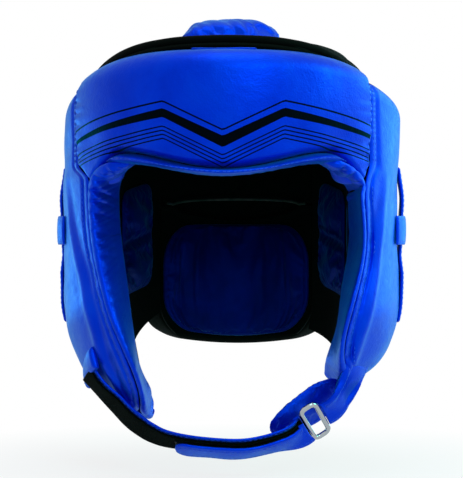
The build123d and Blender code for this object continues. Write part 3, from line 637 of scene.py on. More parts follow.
EDGE_FIT = {side: (np.polyfit(rows[:, 0], rows[:, 1], 5), np.polyfit(rows[:, 0], rows[:, 2], 4))
            for side, rows in EDGE.items()}
EAR_Y, EAR_Z, EAR_TALL, EAR_LONG = 6.0, 6.0, 52.0, 30.0
EAR_STRAIGHT = (EAR_TALL - EAR_LONG) / 2


def side_slope(side, level):
    """Slope of the section at a level: a straight change from the rim's to the tip's."""
    return mix(RIM_SLOPE, TIP_SLOPES[side], (RIM_EAR - level) / (RIM_EAR - TIPS[side]))


def face_height(side, level):
    """Height, at the face, of the section at a level."""
    return level - side_slope(side, level) * FACE_REACH


def face_level(side, height):
    """The level whose section has that height at the face: both change in a straight line."""
    low, high = face_height(side, TIPS[side]), face_height(side, RIM_EAR)
    return mix(TIPS[side], RIM_EAR, (height - low) / (high - low))


def cheek_front(side, level):
    """Angle of the cheek's front edge, and how far it leans back inside, lower down more."""
    height = np.clip(face_height(side, level), EDGE[side][0, 0], 41.0)
    return tuple(np.polyval(fit, height) for fit in EDGE_FIT[side])


def side_front(side, level):
    """The seam above the brow, the cheek's edge below it, and a short step between."""
    angle, slant = cheek_front(side, level)
    share = ease((face_height(side, level) - 40.0) / 11.0)
    return mix(angle, SEAMS[side], share), mix(slant, 0.0, share)


def border(count):
    """Walk round the unit square: front edge up, top back, rear edge down, bottom forward."""
    one = fine(count + 1, 0.8)[:-1]
    s = np.concatenate([one * 0, one, one * 0 + 1, 1 - one])
    q = np.concatenate([one, one * 0 + 1, 1 - one, one * 0])
    return s, q


def side_wall(side, angle, depth, level):
    """Point of a side's wall at an angle from the front, on the slanting plane of its level."""
    return on_slant(side * angle, depth, level, side_slope(side, level))


def side_place(side, s, q, depth):
    """Shares along the panel and up it, and a depth, to an angle, a level and a point."""
    level = mix(TIPS[side] + 0.6, RIM_EAR - 0.6, q)
    front, slant = side_front(side, level)
    lean = slant * (1 - np.clip(depth / 30.0, 0, 1)) * (1 - s)
    angle = mix(front + SEAM_GAP + lean, SEAM_REAR - SEAM_GAP, s)
    return side * angle, level, side_wall(side, angle, depth, level)


def ear_shares(side, depth, grow):
    """The ear slot's outline in the panel's shares: the place is solved by stepping closer."""
    s, q = 0.42 + 0 * BORDER[0], 0.5 + 0 * BORDER[1]
    turn = np.arctan2((BORDER[1] - q) * 1.35, BORDER[0] - s)
    radius = EAR_LONG / 2 + grow
    y = EAR_Y + radius * np.cos(turn)
    z = EAR_Z + radius * np.sin(turn) + EAR_STRAIGHT * np.tanh(3 * np.sin(turn))
    for _ in range(60):
        now = side_place(side, s, q, depth)[2]
        s = s + (y - now[..., 1]) / 190.0
        q = q + (z - now[..., 2]) / 175.0
    return s, q


BORDER = border(84)
CREASES = {
    -1: np.array([(74.0, 36.0), (69.0, 8.0), (60.0, -20.0), (54.0, -46.0), (52.0, -62.0)]),
    1: np.array([(66.0, 40.0), (63.0, 5.0), (61.0, -20.0), (56.0, -48.0), (54.0, -64.0)]),
}


def side_detail(side, angle, height, front_away, ends_away):
    """Folds of the panel's face: the cheek's long crease, the stitched groove, gathers, swells."""
    line = CREASES[side]
    at = np.interp(height, line[::-1, 1], line[::-1, 0])
    off = (np.abs(angle) - at) * 2.0
    inside = np.clip((52.0 - height) / 44.0, 0, 1)
    crease = inside * (1.7 * bell(off, 4.6) - 1.5 * bell(off + 8.5, 5.5))
    groove = -1.3 * bell(front_away - 8.0, 2.0)
    tucks = gathers(height, 9.0, 2.0 + side) * 1.3 * bell(front_away, 9.0) * inside
    pulls = (swell(angle * 2.0 + side * 9, height * 0.7, 17.0, 1.3, 1.3 + side)
             + swell(angle * 1.6 - height * 0.9, height, 9.0, 0.5, 0.4 + side))
    return crease + groove + tucks + pulls * np.clip(ends_away / 14.0, 0, 1)


def side_sheets(side, thin_in, thin_out, edge, detail):
    """Outer and inner sheet of a layer of the side wall between two depths, and where the outer
    one is lining. edge has the radii of the level ends, of the upright ends and of the ear's rim."""
    sheets = []
    ray = fine(96, 0.92)[:, None]
    for outside in (True, False):
        depth = thin_out if outside else thin_in
        s_hole, q_hole = ear_shares(side, depth, 0.3)
        s = mix(s_hole[None], BORDER[0][None], ray)
        q = mix(q_hole[None], BORDER[1][None], ray)
        angle, level, point = side_place(side, s, q, depth)
        front_away = (np.abs(angle) - side_front(side, level)[0]) * 2.0
        ends_away = np.minimum(front_away, (SEAM_REAR - np.abs(angle)) * ARC)
        over = np.maximum(np.abs(point[..., 2] - EAR_Z) - EAR_STRAIGHT, 0)
        away = np.hypot(point[..., 1] - EAR_Y, over) - EAR_LONG / 2
        fall = (drop(RIM_EAR - level, edge[0]) + drop(level - TIPS[side], edge[0])
                + drop(ends_away, edge[1]) + drop(np.maximum(away, 0), edge[2]))
        real = wall(angle) - CROWN if outside and detail else depth
        if outside:
            middle = CROWN * (1 - np.clip(np.abs(s - 0.5) * 2, 0, 1) ** 2) if detail else 0.0
            real = real + middle - fall
            if detail:
                real = real + side_detail(side, angle, point[..., 2], front_away, ends_away)
            under = ((level - TIPS[side] < 5.0) & (np.abs(angle) > 75.0) | (level > RIM_EAR - 2.5)
                     | (drop(ends_away, edge[1]) > 2.0) & (level > face_level(side, 40.0)))
        else:
            real = real + fall
        sheets.append(side_place(side, s, q, real)[2])
    return sheets + [under]


sides = {}
for side, word in SIDES:
    outer, inner, under = side_sheets(side, FOAM_IN, FACE, (RIM_ROLL, 3.0, 5.0), True)
    sides[side] = shell(f"side_cushion_{word}", outer, inner, [f"side_skin_{word}", f"side_foam_{word}"],
                        ring=True, under=under, fill=FOAM_FILL)
    outer, inner, _ = side_sheets(side, 0.0, LINING, (1.2, 1.2, 1.2), False)
    shell(f"side_liner_{word}", outer, inner, [f"side_lining_{word}"], ring=True, look="black_lining",
          fill=LINING_FILL)

# %% [markdown]
# Two rows of stitches run on the side panel beside each seam of the forehead, and one on
# the forehead itself. One more follows the face's opening, and one the brow's lower edge.
# Painted stitches can't catch the light, so each row is thread laid on the leather below it.
# %% Stitches of the seams and of the face's opening
def seam_line(side, off, low):
    """Line beside the forehead's seam, from a height to just under the rim."""
    heights = np.linspace(low, rim_height(SEAMS[side]) - 7.0, 60)
    return on_wall(side * (SEAMS[side] + degrees(off)), FACE, heights)


for side, word in SIDES:
    level = np.linspace(face_level(side, -100.0 if side < 0 else -88.0), face_level(side, 37.0), 200)
    opening = side_wall(side, cheek_front(side, level)[0] + degrees(8.0, 100.0), FACE, level)
    stitches(f"side_thread_{word}", [opening, seam_line(side, 3.2, 51.0), seam_line(side, 5.6, 51.0)],
             sides[side])
    stitches(f"seam_thread_{word}", [seam_line(side, -3.2, 47.0)], forehead)
angles = np.linspace(-50.0, 50.0, 240)
stitches("brow_thread", [on_wall(angles, 33.0, brow_bottom(angles) + 2.6)], brow)

# %% [markdown]
# The cheek's front edge is a padded roll that turns from the face into the opening. Its
# leather is gathered on the inside of the bend, which shows as short level wrinkles. A
# half loop ahead of the panel's end gives the roll, and gathers pull it in and out.
# %% Cheek rolls
CHEEK_ARC = 1.75    # mm to a degree, half way into the wall
EDGE_LOW = {-1: -126.0, 1: -101.0}
TIP_WAY = {-1: [(72, -134.5), (66, -137.5), (60, -138.5), (55.5, -137.0), (51.5, -132.5)],
           1: [(79, -107.5), (75, -110.0), (70.5, -110.5), (66.5, -108.0)]}
CORNER_WAY = {-1: [(53.6, 36.5), (51.6, 42.5), (47.5, 46.5), (43, 48.5), (38, 49.8)],
              1: [(53.8, 35.5), (51.8, 41.0), (48, 45.0), (43.5, 48.0), (38, 49.5)]}


def edge_way(side, count):
    """Angle and height at the face along the roll: under the tip, up the edge, round the corner."""
    heights = np.linspace(EDGE_LOW[side], 28.0, 12)
    edge = np.stack([cheek_front(side, face_level(side, heights))[0], heights], 1)
    return smooth(np.concatenate([TIP_WAY[side], edge, CORNER_WAY[side]]), count)


def edge_roll(side, count=460, across=34):
    """Sections from the face (share 0) to the lining (share 1) that bulge into the opening. The
    nose points square to the way: a quarter turn from its direction, towards the opening."""
    flat = np.array([CHEEK_ARC, 1.0])
    share = ((1 - np.cos(np.linspace(0, np.pi, across))) / 2)[None, :]
    puff = np.sqrt(np.maximum(1 - (2 * share - 1) ** 2, 0)) ** 0.9 * mix(1.1, 0.5, share)
    way = edge_way(side, count)
    nose = unit(np.gradient(way * flat, axis=0))[:, ::-1] * [-1.0, 1.0]
    far = walked(way * flat)[:, None]
    angle, height = way[:, :1], way[:, 1:]
    level = face_level(side, height)
    up = np.clip((height - 5.0) / 40.0, 0, 1)
    pleated = np.clip((height + 35.0) / 60.0, 0, 1) if side < 0 else up
    coarse = mix(0.6, 3.2, pleated) * (0.6 + 0.5 * np.sin(far / 27.0) ** 2)
    wrinkle = (gathers(far + 7 * share, 10.5, side + 0.5) * coarse
               + mix(0.3, 1.1, pleated) * gathers(far - 9 * share, 5.2, side)
               + swell(far, share * 30.0, 13.0, 0.5))
    ends = np.minimum(far, far[-1] - far)
    full = np.sqrt(np.maximum(1 - (1 - np.clip(ends / 12.0, 0, 1)) ** 2, 0.01))
    bulge = (np.where(side < 0, 5.6 + 1.6 * up, 5.0) + 0.9 * wrinkle) * puff * full
    fall = np.minimum(drop(level - TIPS[side], RIM_ROLL), 8.0)
    outer, inner = wall(angle) - CROWN - fall, LINING - 1.5 + fall
    middle = (outer + inner) / 2
    depth = middle + (mix(outer, inner, share) - middle) * full + 0.8 * wrinkle * puff
    lean = cheek_front(side, level)[1] * share * nose[:, :1] ** 2
    places = []
    for out in (bulge, -1.2 + 0 * bulge):
        a = angle + lean + nose[:, :1] * out / CHEEK_ARC
        h = height + nose[:, 1:] * out - 5.0 * share * nose[:, 1:] * (height > 0)
        level = face_level(side, h)
        places.append(side_wall(side, a, depth, level))
    return np.concatenate([places[0], places[1][:, ::-1][:, 1:-1]], 1)


for side, word in SIDES:
    tube(f"cheek_cushion_{word}", edge_roll(side), [f"cheek_roll_{word}"], fill=FOAM_FILL)

# %% [markdown]
# The rear panel closes the wall behind the ears. It has no opening, so a plain grid of
# shares serves, narrower at its rounded lower corners. Its lining is in two parts, sewn
# together at the ends of a lens-shaped slot.
# %% Rear panel
REAR_BOTTOM, NAPE_CORNER = -76.0, 31.0


def bowl(s, level):
    """How far the nape sags below a straight edge: a parabola across, and none at the ears."""
    return 3.6 * np.clip((-20.0 - level) / 56.0, 0, 1) ** 2 * (1 - (2 * s - 1) ** 2)


def rear_place(s, q, depth, low=REAR_BOTTOM + 0.6, high=RIM_EAR - 0.6):
    """Shares across and up the rear panel, and a depth, to a point."""
    level = mix(low, high, q)
    front = SEAM_REAR + 0.4 + degrees(drop(level - REAR_BOTTOM, NAPE_CORNER), 100.0)
    angle = mix(front, 360 - front, s)
    slope = mix(RIM_SLOPE, 0.0, (RIM_EAR - level) / (RIM_EAR - REAR_BOTTOM))
    return angle, level, on_slant(angle, depth, level - bowl(s, level), slope)


s, q = np.meshgrid(fine(150, 0.8), fine(150, 0.85))
angle, level, _ = rear_place(s, q, 29.0)
ends = np.minimum(s, 1 - s) * 165.0
fall = drop(RIM_EAR - level, RIM_ROLL) + drop(level - REAR_BOTTOM, RIM_ROLL) + drop(ends, 5.0)
folds = (swell(angle * 2.0, level, 19.0, 0.8, 2.2) - 0.8 * bell(ends - 8.0, 1.9)
         - 0.7 * bell(level - 58.0, 2.0) + gathers(level, 9.5, 3.0) * 0.6 * bell(ends, 10.0))
outer = rear_place(s, q, wall(angle) - CROWN + CROWN * (1 - (2 * s - 1) ** 2) - fall + folds)[2]
inner = rear_place(s, q, FOAM_IN + fall)[2]
under = ((level - REAR_BOTTOM < 6.0) | (level > RIM_EAR - 2.5)
         | (drop(level - REAR_BOTTOM, NAPE_CORNER) > 1.5) & (ends < 2.0))
shell("rear_cushion", outer, inner, ["rear_skin", "rear_foam"], under=under, fill=FOAM_FILL)

# %% [markdown]
# Both halves of the rear lining end at a lip of the slot. Their grids simply have an arc
# for a border there, which stays cleaner than a cut, and a cord along the upper lip is drawn
# lighter grey-green than the lining as a painted highlight of the lip's edge.
# %% Rear lining with its slot
SLOT_HALF, SLOT_TALL, SLOT_LEVEL = 47.0, 16.0, 25.0


def slot_lip(s, sign):
    """Level of the slot's upper or lower lip: two shallow arcs that meet at the seam."""
    angle = mix(SEAM_REAR + 0.6, 360 - SEAM_REAR - 0.6, s)
    x = np.sin(np.radians(angle)) * HALF_WIDTH
    arc = np.sqrt(np.maximum(1 - (x / SLOT_HALF) ** 2, 0)) ** 1.3
    return SLOT_LEVEL + sign * (0.4 + SLOT_TALL / 2 * arc)


for part, word in ((1, "upper"), (-1, "lower")):
    s, q = np.meshgrid(fine(130, 0.5), fine(50, 0.8))
    lip = slot_lip(s, part) + 14.0
    low, high = (lip, RIM_EAR - 6.0) if part > 0 else (REAR_BOTTOM + 6.0, lip)
    away = np.abs(mix(low, high, q) - lip)
    lift = drop(np.minimum(away, np.minimum(s, 1 - s) * 160), 1.2) - 1.1 * bell(away - 2.5, 2.2)
    sheets = [rear_place(s, q, depth, low, high)[2] for depth in (LINING + 0 * lift, lift)]
    shell(f"rear_liner_{word}", *sheets, ["rear_lining"] if part > 0 else [], look="black_lining",
          fill=LINING_FILL)

stations = np.linspace(0.04, 0.96, 120)
angle, level, path = rear_place(stations, 0.0, -0.9, slot_lip(stations, 1) + 14.0, 0.0)
SLOT_EDGE = path, on_wall(angle, -9.0, level) - path

# %% [markdown]
# The forehead's lining is a flat sheet of the same knit, from the crease to under the rim.
# It takes the same loop as the leather, thin and with small corners.
# %% Forehead lining
angles = forehead_angles(0.6, fine(100, 0.5))
a, d, h = wall_sections(angles, drop(np.minimum(angles + 63.0, 57.0 - angles) * 2, 1.2), 0.0, LINING,
                        crease_height(angles) + 2.5, rim_height(angles) - 6.0, 1.2, 1.2, wall_loop(24, 8))
tube("forehead_liner", on_wall(a, d, h), ["forehead_lining"], look="black_lining", fill=LINING_FILL)

# %% [markdown]
# The inner pads, the crown cushion and the chin flap are stuffed leather. Their puckers
# come from cloth with air in it: the pillow starts flatter than it ends, its seam is held,
# and pressure lifts the leather between. Sculpting would take longer and look painted.
# %% Air in a cushion
def coordinates(mesh):
    """Places of a mesh's points, a row of three for each."""
    found = np.empty(len(mesh.vertices) * 3)
    mesh.vertices.foreach_get("co", found)
    return found.reshape(-1, 3)


def inflate(thing, seam, reach, pressure, cap, spare=0.06):
    """Blows a closed cushion up as cloth. Points within reach (mm) of the seam's points are
    held, the rest move at most cap (mm). The cloth is cut larger by the spare, so it puckers."""
    frames = 18
    start = coordinates(thing.data)
    near = np.min(np.linalg.norm(start[:, None] * 1000.0 - seam[None], axis=-1), axis=1) < reach
    group = thing.vertex_groups.new(name="held")
    group.add([int(i) for i in np.flatnonzero(near)], 1.0, "REPLACE")
    cloth = thing.modifiers.new("air", "CLOTH")
    for key, value in (("vertex_group_mass", "held"), ("use_pressure", True), ("quality", 5),
                       ("uniform_pressure_force", pressure), ("mass", 0.15),
                       ("tension_stiffness", 12.0), ("compression_stiffness", 12.0),
                       ("shear_stiffness", 4.0), ("bending_stiffness", 0.15), ("shrink_min", -spare)):
        setattr(cloth.settings, key, value)
    cloth.settings.effector_weights.gravity = 0.0
    cloth.collision_settings.use_collision = False
    cloth.point_cache.frame_start, cloth.point_cache.frame_end = 1, frames
    for frame_number in range(1, frames + 1):
        bpy.context.scene.frame_set(frame_number)
    shaped = thing.evaluated_get(bpy.context.evaluated_depsgraph_get())
    moved = coordinates(shaped.data) - start
    size = np.linalg.norm(moved, axis=1, keepdims=True)
    limit = cap * 0.001
    moved = moved * limit * np.tanh(size / limit) / np.maximum(size, 1e-9)
    thing.modifiers.remove(cloth)
    thing.data.vertices.foreach_set("co", (start + moved).ravel())
    thing.data.update()
    thing.vertex_groups.remove(group)
    bpy.context.scene.frame_set(1)
    print(f"{thing.name}: air moved it {size.max() * 1000:.1f} mm at most, {near.sum()} points held")


def pillow(s, q, power=2.6):
    """Share of its thickness that a pillow has at a place: zero on its seam, full inside."""
    side = (1 - np.abs(2 * s - 1) ** power) * (1 - np.abs(2 * q - 1) ** power)
    return np.maximum(side, 0.0) ** 0.5


# %% [markdown]
# A broad cushion lies against the nape and one behind each ear, on the black lining. Each
# is a pillow of two sheets in angle and height. The ears' cushions have a sewn channel,
# which is held as the border is, so the air lifts two rolls.
# %% Inner pads
def inner_pad(name, front, back, bottom, top, thick, slope, nodes, channels=(), corner=0.0):
    """Pillow between two angles and two levels, whose round corners pull its border in."""
    s, q = np.meshgrid(fine(84, 0.6), fine(84, 0.6))
    level = mix(bottom, top, q)
    pull = degrees(drop(np.minimum(level - bottom, top - level), corner), 95.0)
    angle = mix(front + pull, back - pull, s)
    full = pillow(s, q)
    for channel in channels:
        full = full * (1 - 0.8 * bell((q - channel) * (top - bottom), 3.2))
    rows = gathers(s * (back - front) * 1.7, 6.5, front) * 0.6 * (1 - full)
    level = level - bowl(s, level) * (corner > 20.0)
    outer = on_slant(angle, -0.8 - thick * 0.75 * full - rows * full ** 0.5, level, slope)
    inner = on_slant(angle, -0.8 + 0.5 * full, level, slope)
    # The pad leather is dark blue, with painted shade of the headgear's inside in its colour.
    pad = shell(name, outer, inner, nodes, look="pad_leather")
    lines = [outer[np.argmin(np.abs(q[:, 0] - channel))] for channel in channels]
    held = np.concatenate([rim_of(outer)] + lines + [inner[::4, ::4].reshape(-1, 3)])
    inflate(pad, held, 2.4, 3.2, thick * 0.45)


inner_pad("nape_cushion", 139.2, 220.8, -70.0, 11.0, 9.0, 0.0, ["nape_pad"], (), 30.0)
for side, word in SIDES:
    front, back = sorted((side * 105.5, side * 131.5))
    inner_pad(f"ear_cushion_{word}", front, back, -50.0, 26.0, 7.0, 0.25, [f"ear_pad_{word}"],
              (0.5,), 9.0)


# %% [markdown]
# Tapes, piping and straps are a section carried along a path. The path is a smooth curve
# through a few stations, and the section turns with the way that the strap's face looks.
# %% Paths and ribbons
def axes(path, outs):
    """The path's direction, the way across it and the way its face looks, at each point."""
    along = unit(np.gradient(path, axis=0))
    out = unit(outs - along * (outs * along).sum(-1, keepdims=True))
    return along, np.cross(along, out), out


def bent(wave, power):
    """A wave from -1 to 1 drawn out towards its ends, with its sign kept."""
    return np.sign(wave) * np.abs(wave) ** power


def ribbon(name, path, outs, wide, thick, nodes=(), lift=0.0, shift=0.0, round_end=0.0, wavy=0.0,
           crown=0.0, sewn=0.0, pleats=(0.0, 1.0, 0.0), body="shell", **wear):
    """Strap with rounded edges: a flat loop of width and thickness, carried along the path.
    sewn is how far in from both edges it is stitched; pleats are their place, length and depth."""
    _, across, out = axes(path, outs)
    turn = circle(56)
    x, z = bent(np.cos(turn), 0.5), bent(np.sin(turn), 0.45)
    far = walked(path)
    ends = np.minimum(far, far[-1] - far)
    half = wide / 2 * np.ones_like(far)
    wide = float(np.max(wide))
    if round_end:
        half = half - drop(far if round_end > 0 else far[-1] - far, abs(round_end)) * 0.9
    flat = 1 - drop(ends, thick / 2) / (thick / 2) * 0.9
    wave = wavy * swell(far[:, None] * 1.6, x * wide * 0.8, 9.0, 1.0, wide)
    place, reach, deep = pleats
    wave = wave - deep * bell(far - place, reach)[:, None] * np.cos(x * 6.3) ** 2 * (z > 0)
    rise = z * flat[:, None] * thick / 2 + crown * (1 - x ** 2) * (z > 0) + wave
    points = (path[:, None] + across[:, None] * (x[:, None] * half[:, None, None] + shift)
              + out[:, None] * (rise + lift + thick / 2)[..., None])
    made = tube(name, points, nodes, body=body, **wear)
    if sewn:
        above = path + out * (lift + thick + 1.5)
        lines = [(above + across * (shift + sign * (half[:, None] - sewn)))[4:-4] for sign in (1, -1)]
        stitches(f"{name}_thread", lines, made, body, radius=0.22)


def piping(name, path, outs, radius, nodes=(), **wear):
    """Round cord along a path."""
    _, across, out = axes(path, outs)
    turn = circle(22)[:, None]
    tube(name, path[:, None] + (across[:, None] * np.cos(turn) + out[:, None] * np.sin(turn)) * radius,
         nodes, **wear)


# A cord along the slot's upper lip, lighter than the lining: a painted highlight of the lip's edge.
piping("slot_highlight_cord", *SLOT_EDGE, 0.9, look="painted_lip_highlight")

# %% [markdown]
# The ear opening is lined by a leather sleeve whose two lips roll over the wall's faces.
# A guard bar crosses it from top to bottom, bowed out so that it doesn't press the ear,
# and a short cross keeper holds the bar down in the middle.
# %% Ears
def slot_outline(grow, count):
    """Upright slot with round ends, in y and z."""
    turn = circle(count)
    radius = EAR_LONG / 2 + grow
    return (EAR_Y + radius * np.cos(turn),
            EAR_Z + radius * np.sin(turn) + EAR_STRAIGHT * np.clip(np.sin(turn) * 3, -1, 1))


turn = circle(28)
share = 0.5 + 0.5 * bent(np.sin(turn), 0.35)
grow = -1.6 + 1.2 * np.cos(turn) + 2.6 * np.abs(2 * share - 1) ** 9 * (np.cos(turn) > -0.2)
y, z = (np.stack([slot_outline(g, 120)[k] for g in grow], 1) for k in (0, 1))
depth = mix(-0.8, 32.2, share)[None, :] + 0 * y
sleeve = (HALF_WIDTH - curl(z) + depth) * np.sqrt(1 - (y / (REAR + depth)) ** 2)
BAR_LOW, BAR_HIGH = -58.0, 50.0
bar = np.linspace(BAR_LOW, BAR_HIGH, 90)
bow = (HALF_WIDTH - curl(bar) + WALL_SIDE - 2.2
       + 1.2 * np.sin(np.pi * (bar - BAR_LOW) / (BAR_HIGH - BAR_LOW))
       + bell(bar - EAR_Z, 11.0) + 2.2 * bell(bar - 29.0, 15.0)
       + 1.7 * np.clip((-12.0 - bar) / 12.0, 0, 1))
along = np.linspace(-33.0, 33.0, 70)
over = HALF_WIDTH + WALL_SIDE + 2.7 - 6.5 * np.maximum(0.0, (np.abs(along) - 12.0) / 21.0) ** 2
for side, word in SIDES:
    ring = np.stack([side * sleeve, y, z], -1)
    # The sleeve wears the pad leather: dark blue, with painted shade of the opening in its colour.
    piece(f"ear_ring_{word}", np.concatenate([ring, ring[:1]]), quads(len(y) + 1, y.shape[1], True),
          [f"ear_sleeve_{word}"], look="pad_leather")
    for kind, node_name, path, wide, thick, wear in (
            ("guard", "bar", (side * bow, EAR_Y + 0 * bow, bar), 24.0, 2.8,
             {"wavy": 0.2, "sewn": 2.6}),
            ("keeper", "cross", (side * over, EAR_Y + along, EAR_Z + 0 * along), 20.0, 1.7,
             {"wavy": 0.15, "sewn": 2.4, "crown": 0.5})):
        path = np.stack(path, -1)
        ribbon(f"ear_{kind}_{word}", path, np.tile([side, 0.0, 0.0], (len(path), 1)), wide, thick,
               [f"ear_{node_name}_{word}"], **wear)

# %% [markdown]
# The crown is a cap of black cloth, arched from side to side and rounded down at the rear.
# One exponent gives the arch its shoulders, and folds run where the cloth is sewn to the rim.
# Its front edge is a rolled double bead that tapers into the rim.
# %% Crown cap
CAP_TOP, CAP_REACH, CAP_REAR = 141.0, 98.0, 113.0
CAP_SEAT = 0.45     # share of the wall where the cap meets the rim's crest
CAP_ACROSS, CAP_FEET, SHOULDER = 110, 1.0, 0.82
REAR_CREST = RIM_EAR + RIM_SLOPE * (REAR + WALL_REAR / 2) - 4.5


def cap_top(y):
    """Height along the middle: a parabola to the front, a quarter ellipse to the rear."""
    rear = REAR_CREST + (CAP_TOP - REAR_CREST) * np.sqrt(np.maximum(1 - (y / CAP_REAR) ** 2, 0))
    return np.where(y < 0, CAP_TOP - 11.0 * (y / CAP_REACH) ** 2, rear)


def cap_arch(y, inset):
    """Arch at each place from front to back: a rounded square whose feet stand in the rim, and
    sink into it at the rear."""
    reach = np.where(y < 0, FRONT, REAR) + WALL_FRONT * CAP_SEAT
    angle = np.degrees(np.arccos(np.clip(-y / reach, -1, 1)))
    half = (HALF_WIDTH + wall(angle) * CAP_SEAT) * np.sin(np.radians(angle)) - inset
    sunk = CAP_FEET + 5.0 * np.clip((y - 88.0) / 25.0, 0, 1) ** 2
    base = np.where(angle < 60.0, rim_height(angle), RIM_EAR + RIM_SLOPE * y) + 1.3 - sunk
    turn = np.linspace(-np.pi / 2, np.pi / 2, CAP_ACROSS)
    x, z = bent(np.sin(turn), SHOULDER), np.abs(np.cos(turn)) ** SHOULDER
    rise = np.maximum(cap_top(y) - inset - base, 1.0 + CAP_FEET)
    return np.stack([half[:, None] * x, y[:, None] + 0 * x, base[:, None] + rise[:, None] * z], -1)


y = mix(-94.0, CAP_REAR - 0.03, 1 - (1 - np.linspace(0.0, 1.0, 130)) ** 1.6)
outer, inner = cap_arch(y, 1.2), cap_arch(y, 3.6)
middle = np.abs(np.linspace(-1, 1, CAP_ACROSS))[None, :]
folds = (0.8 * gathers(y[:, None], 13.0, 0.3) * bell(middle - 1.0, 0.32)
         + swell(y[:, None], middle * 80.0, 14.0, 0.7, 0.9) * (1 - middle ** 6)
         + 1.1 * bell(y[:, None] - 30.0, 1.8) - 0.8 * bell(middle * 100.0 - 42.0, 2.0))
push = unit(outer - np.array([0.0, 10.0, 60.0])) * (folds - 0.3)[..., None]
shell("crown_cloth", outer + push, inner + push * 0.6, ["crown_cap"], look="black_lining",
      fill=LINING_FILL)
BAND = np.array([(0.0, -97.5, 129.0), (27.0, -96.5, 128.2), (45.0, -92.0, 126.4), (57.0, -87.0, 124.3),
                 (67.0, -80.5, 121.4), (76.0, -71.0, 117.6), (83.0, -60.5, 113.6), (89.5, -49.0, 108.5)])
sunk = BAND - np.outer(np.linspace(0, 1, len(BAND)) ** 2, [-1.0, 0.0, 4.2])
path = smooth(np.concatenate([BAND[:0:-1] * [-1, 1, 1], sunk]), 260)
outs = unit(path * [0.4, 1.0, 0.0] + [0.0, 0.0, 40.0])
piping("crown_bead", path + [0.0, 1.5, 0.8], outs, 3.5, ["crown_binding"], look="black_binding")
piping("crown_bead_lower", path - [0.0, 1.6, 3.4], outs, 2.3, look="black_binding")

# %% [markdown]
# On top lies a stuffed cushion, and a leather tab comes up from the rim at the front and at
# the rear. The cushion's gathers slant across it, as in the photograph, where one end of it
# is pulled by its seam.
# %% Crown cushion and tabs
s, q = np.meshgrid(fine(90, 0.5), fine(110, 0.5))
y = mix(-52.0, 52.0, q)
half = 35.5 * (0.8 + 0.2 * np.sqrt(np.maximum(1 - (2 * q - 1) ** 4, 0)))
x = (2 * s - 1) * half
full = pillow(s, q, 5.0)
seat = cap_top(y) - 3.2 - x ** 2 / 420.0
slant = gathers(x + y * 0.55, 10.5, 2.0) * (0.9 + 0.6 * (x > 0))
outer = np.stack([x, y, seat + full * (12.4 + 1.3 * slant)], -1)
inner = np.stack([x, y, seat - full], -1)
cushion = shell("crown_cushion", outer, inner, ["crown_pad"])
inflate(cushion, np.concatenate([rim_of(outer), inner[::5, ::5].reshape(-1, 3)]), 2.0, 1.6, 2.2, 0.09)
rear_crest = REAR + WALL_FRONT * CAP_SEAT
for word, end, crest, base, first, last, thick, sewn in (
        ("front", -1, FRONT + WALL_FRONT * CAP_SEAT, 121.9, 1.5, -8.0, 1.4, 0.0),
        ("rear", 1, rear_crest, RIM_EAR + RIM_SLOPE * rear_crest + 0.3, 9.0, -5.0, 1.8, 2.6)):
    run = np.linspace(first, last, 40)
    path = np.stack([0 * run, end * (crest + run), base - run ** 2 / 26.0], -1)
    ribbon(f"{word}_tab", path, np.tile([0.0, end * 0.35, 1.0], (len(run), 1)), 42.0, thick,
           [f"{word}_crown_tab"], wavy=0.2, sewn=sewn)

# %% [markdown]
# The chin strap leaves a patch on the left cheek, hangs under the chin and ends at a metal
# ring. It has a strip of black loop pile on its outer face, and its tail comes back from the
# ring with a hook strip. The route keeps to the solids' own, drawn a few millimetres in where
# the worn strap of the photograph has settled.
# %% Chin strap
RING_PLACE, RING_RUN = np.array([57.5, -64.0, -120.0]), unit(np.array([0.84, 0.10, 0.54]))
RING_OUT = np.array([0.35, -0.66, -0.50])
RING_SEAT = 7.8     # from the ring's middle to the strap that turns round its bar
STRAP = [   # each station: its place, and the way that the strap's face looks there
    (-93.0, -58.6, -89.5, -0.88, -0.44, -0.15), (-83.8, -60.2, -100.0, -0.80, -0.45, -0.40),
    (-73.5, -61.8, -110.0, -0.66, -0.54, -0.52), (-66.0, -64.5, -117.5, -0.58, -0.58, -0.57),
    (-59.0, -67.0, -122.8, -0.44, -0.62, -0.65), (-50.0, -69.5, -128.0, -0.28, -0.60, -0.75),
    (-37.0, -72.0, -132.0, -0.15, -0.50, -0.85), (-15.0, -75.0, -134.5, -0.05, -0.42, -0.90),
    (12.0, -75.5, -135.2, 0.05, -0.40, -0.91), (34.0, -71.0, -130.5, 0.20, -0.42, -0.88)]
TAIL_FROM = 6


def to_ring(end):
    """Two stations that bring a strap square to the ring's bar: 5 mm before it, and at it."""
    seat = RING_PLACE + RING_RUN * end * RING_SEAT
    return [(*(seat + RING_RUN * end * 5.0), *RING_OUT), (*seat, *RING_OUT)]


def route(stations, count):
    """Smooth path through the stations, and the way its face looks along it."""
    return np.split(smooth(stations, count), 2, axis=1)


STRAP += to_ring(-1)
path, outs = route(STRAP, 260)
ribbon("chin_strap_leather", path, outs, 23.0, 2.2, ["chin_strap"], wavy=0.12, sewn=1.4,
       body="chin_strap_body")
ribbon("chin_loop_pile", path, outs, 19.0, 1.8, ["chin_loop_strip"], lift=2.4, wavy=0.35,
       look="loop_fabric", body="chin_strap_body")
path, outs = (part[6:] for part in route(STRAP[TAIL_FROM:], 156))
ribbon("tail_hooks", path, outs, 13.0, 1.2, ["tail_hook_strip"], lift=4.4, look="hook_fabric",
       body="strap_tail_body")
ribbon("strap_tail_leather", path, outs, 20.0, 2.4, ["strap_tail"], lift=5.8, shift=1.0,
       round_end=10.0, wavy=0.3, crown=0.6, sewn=3.2, body="strap_tail_body")
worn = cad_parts["chin_ring"].data.materials
worn.clear()
worn.append(ring_metal)

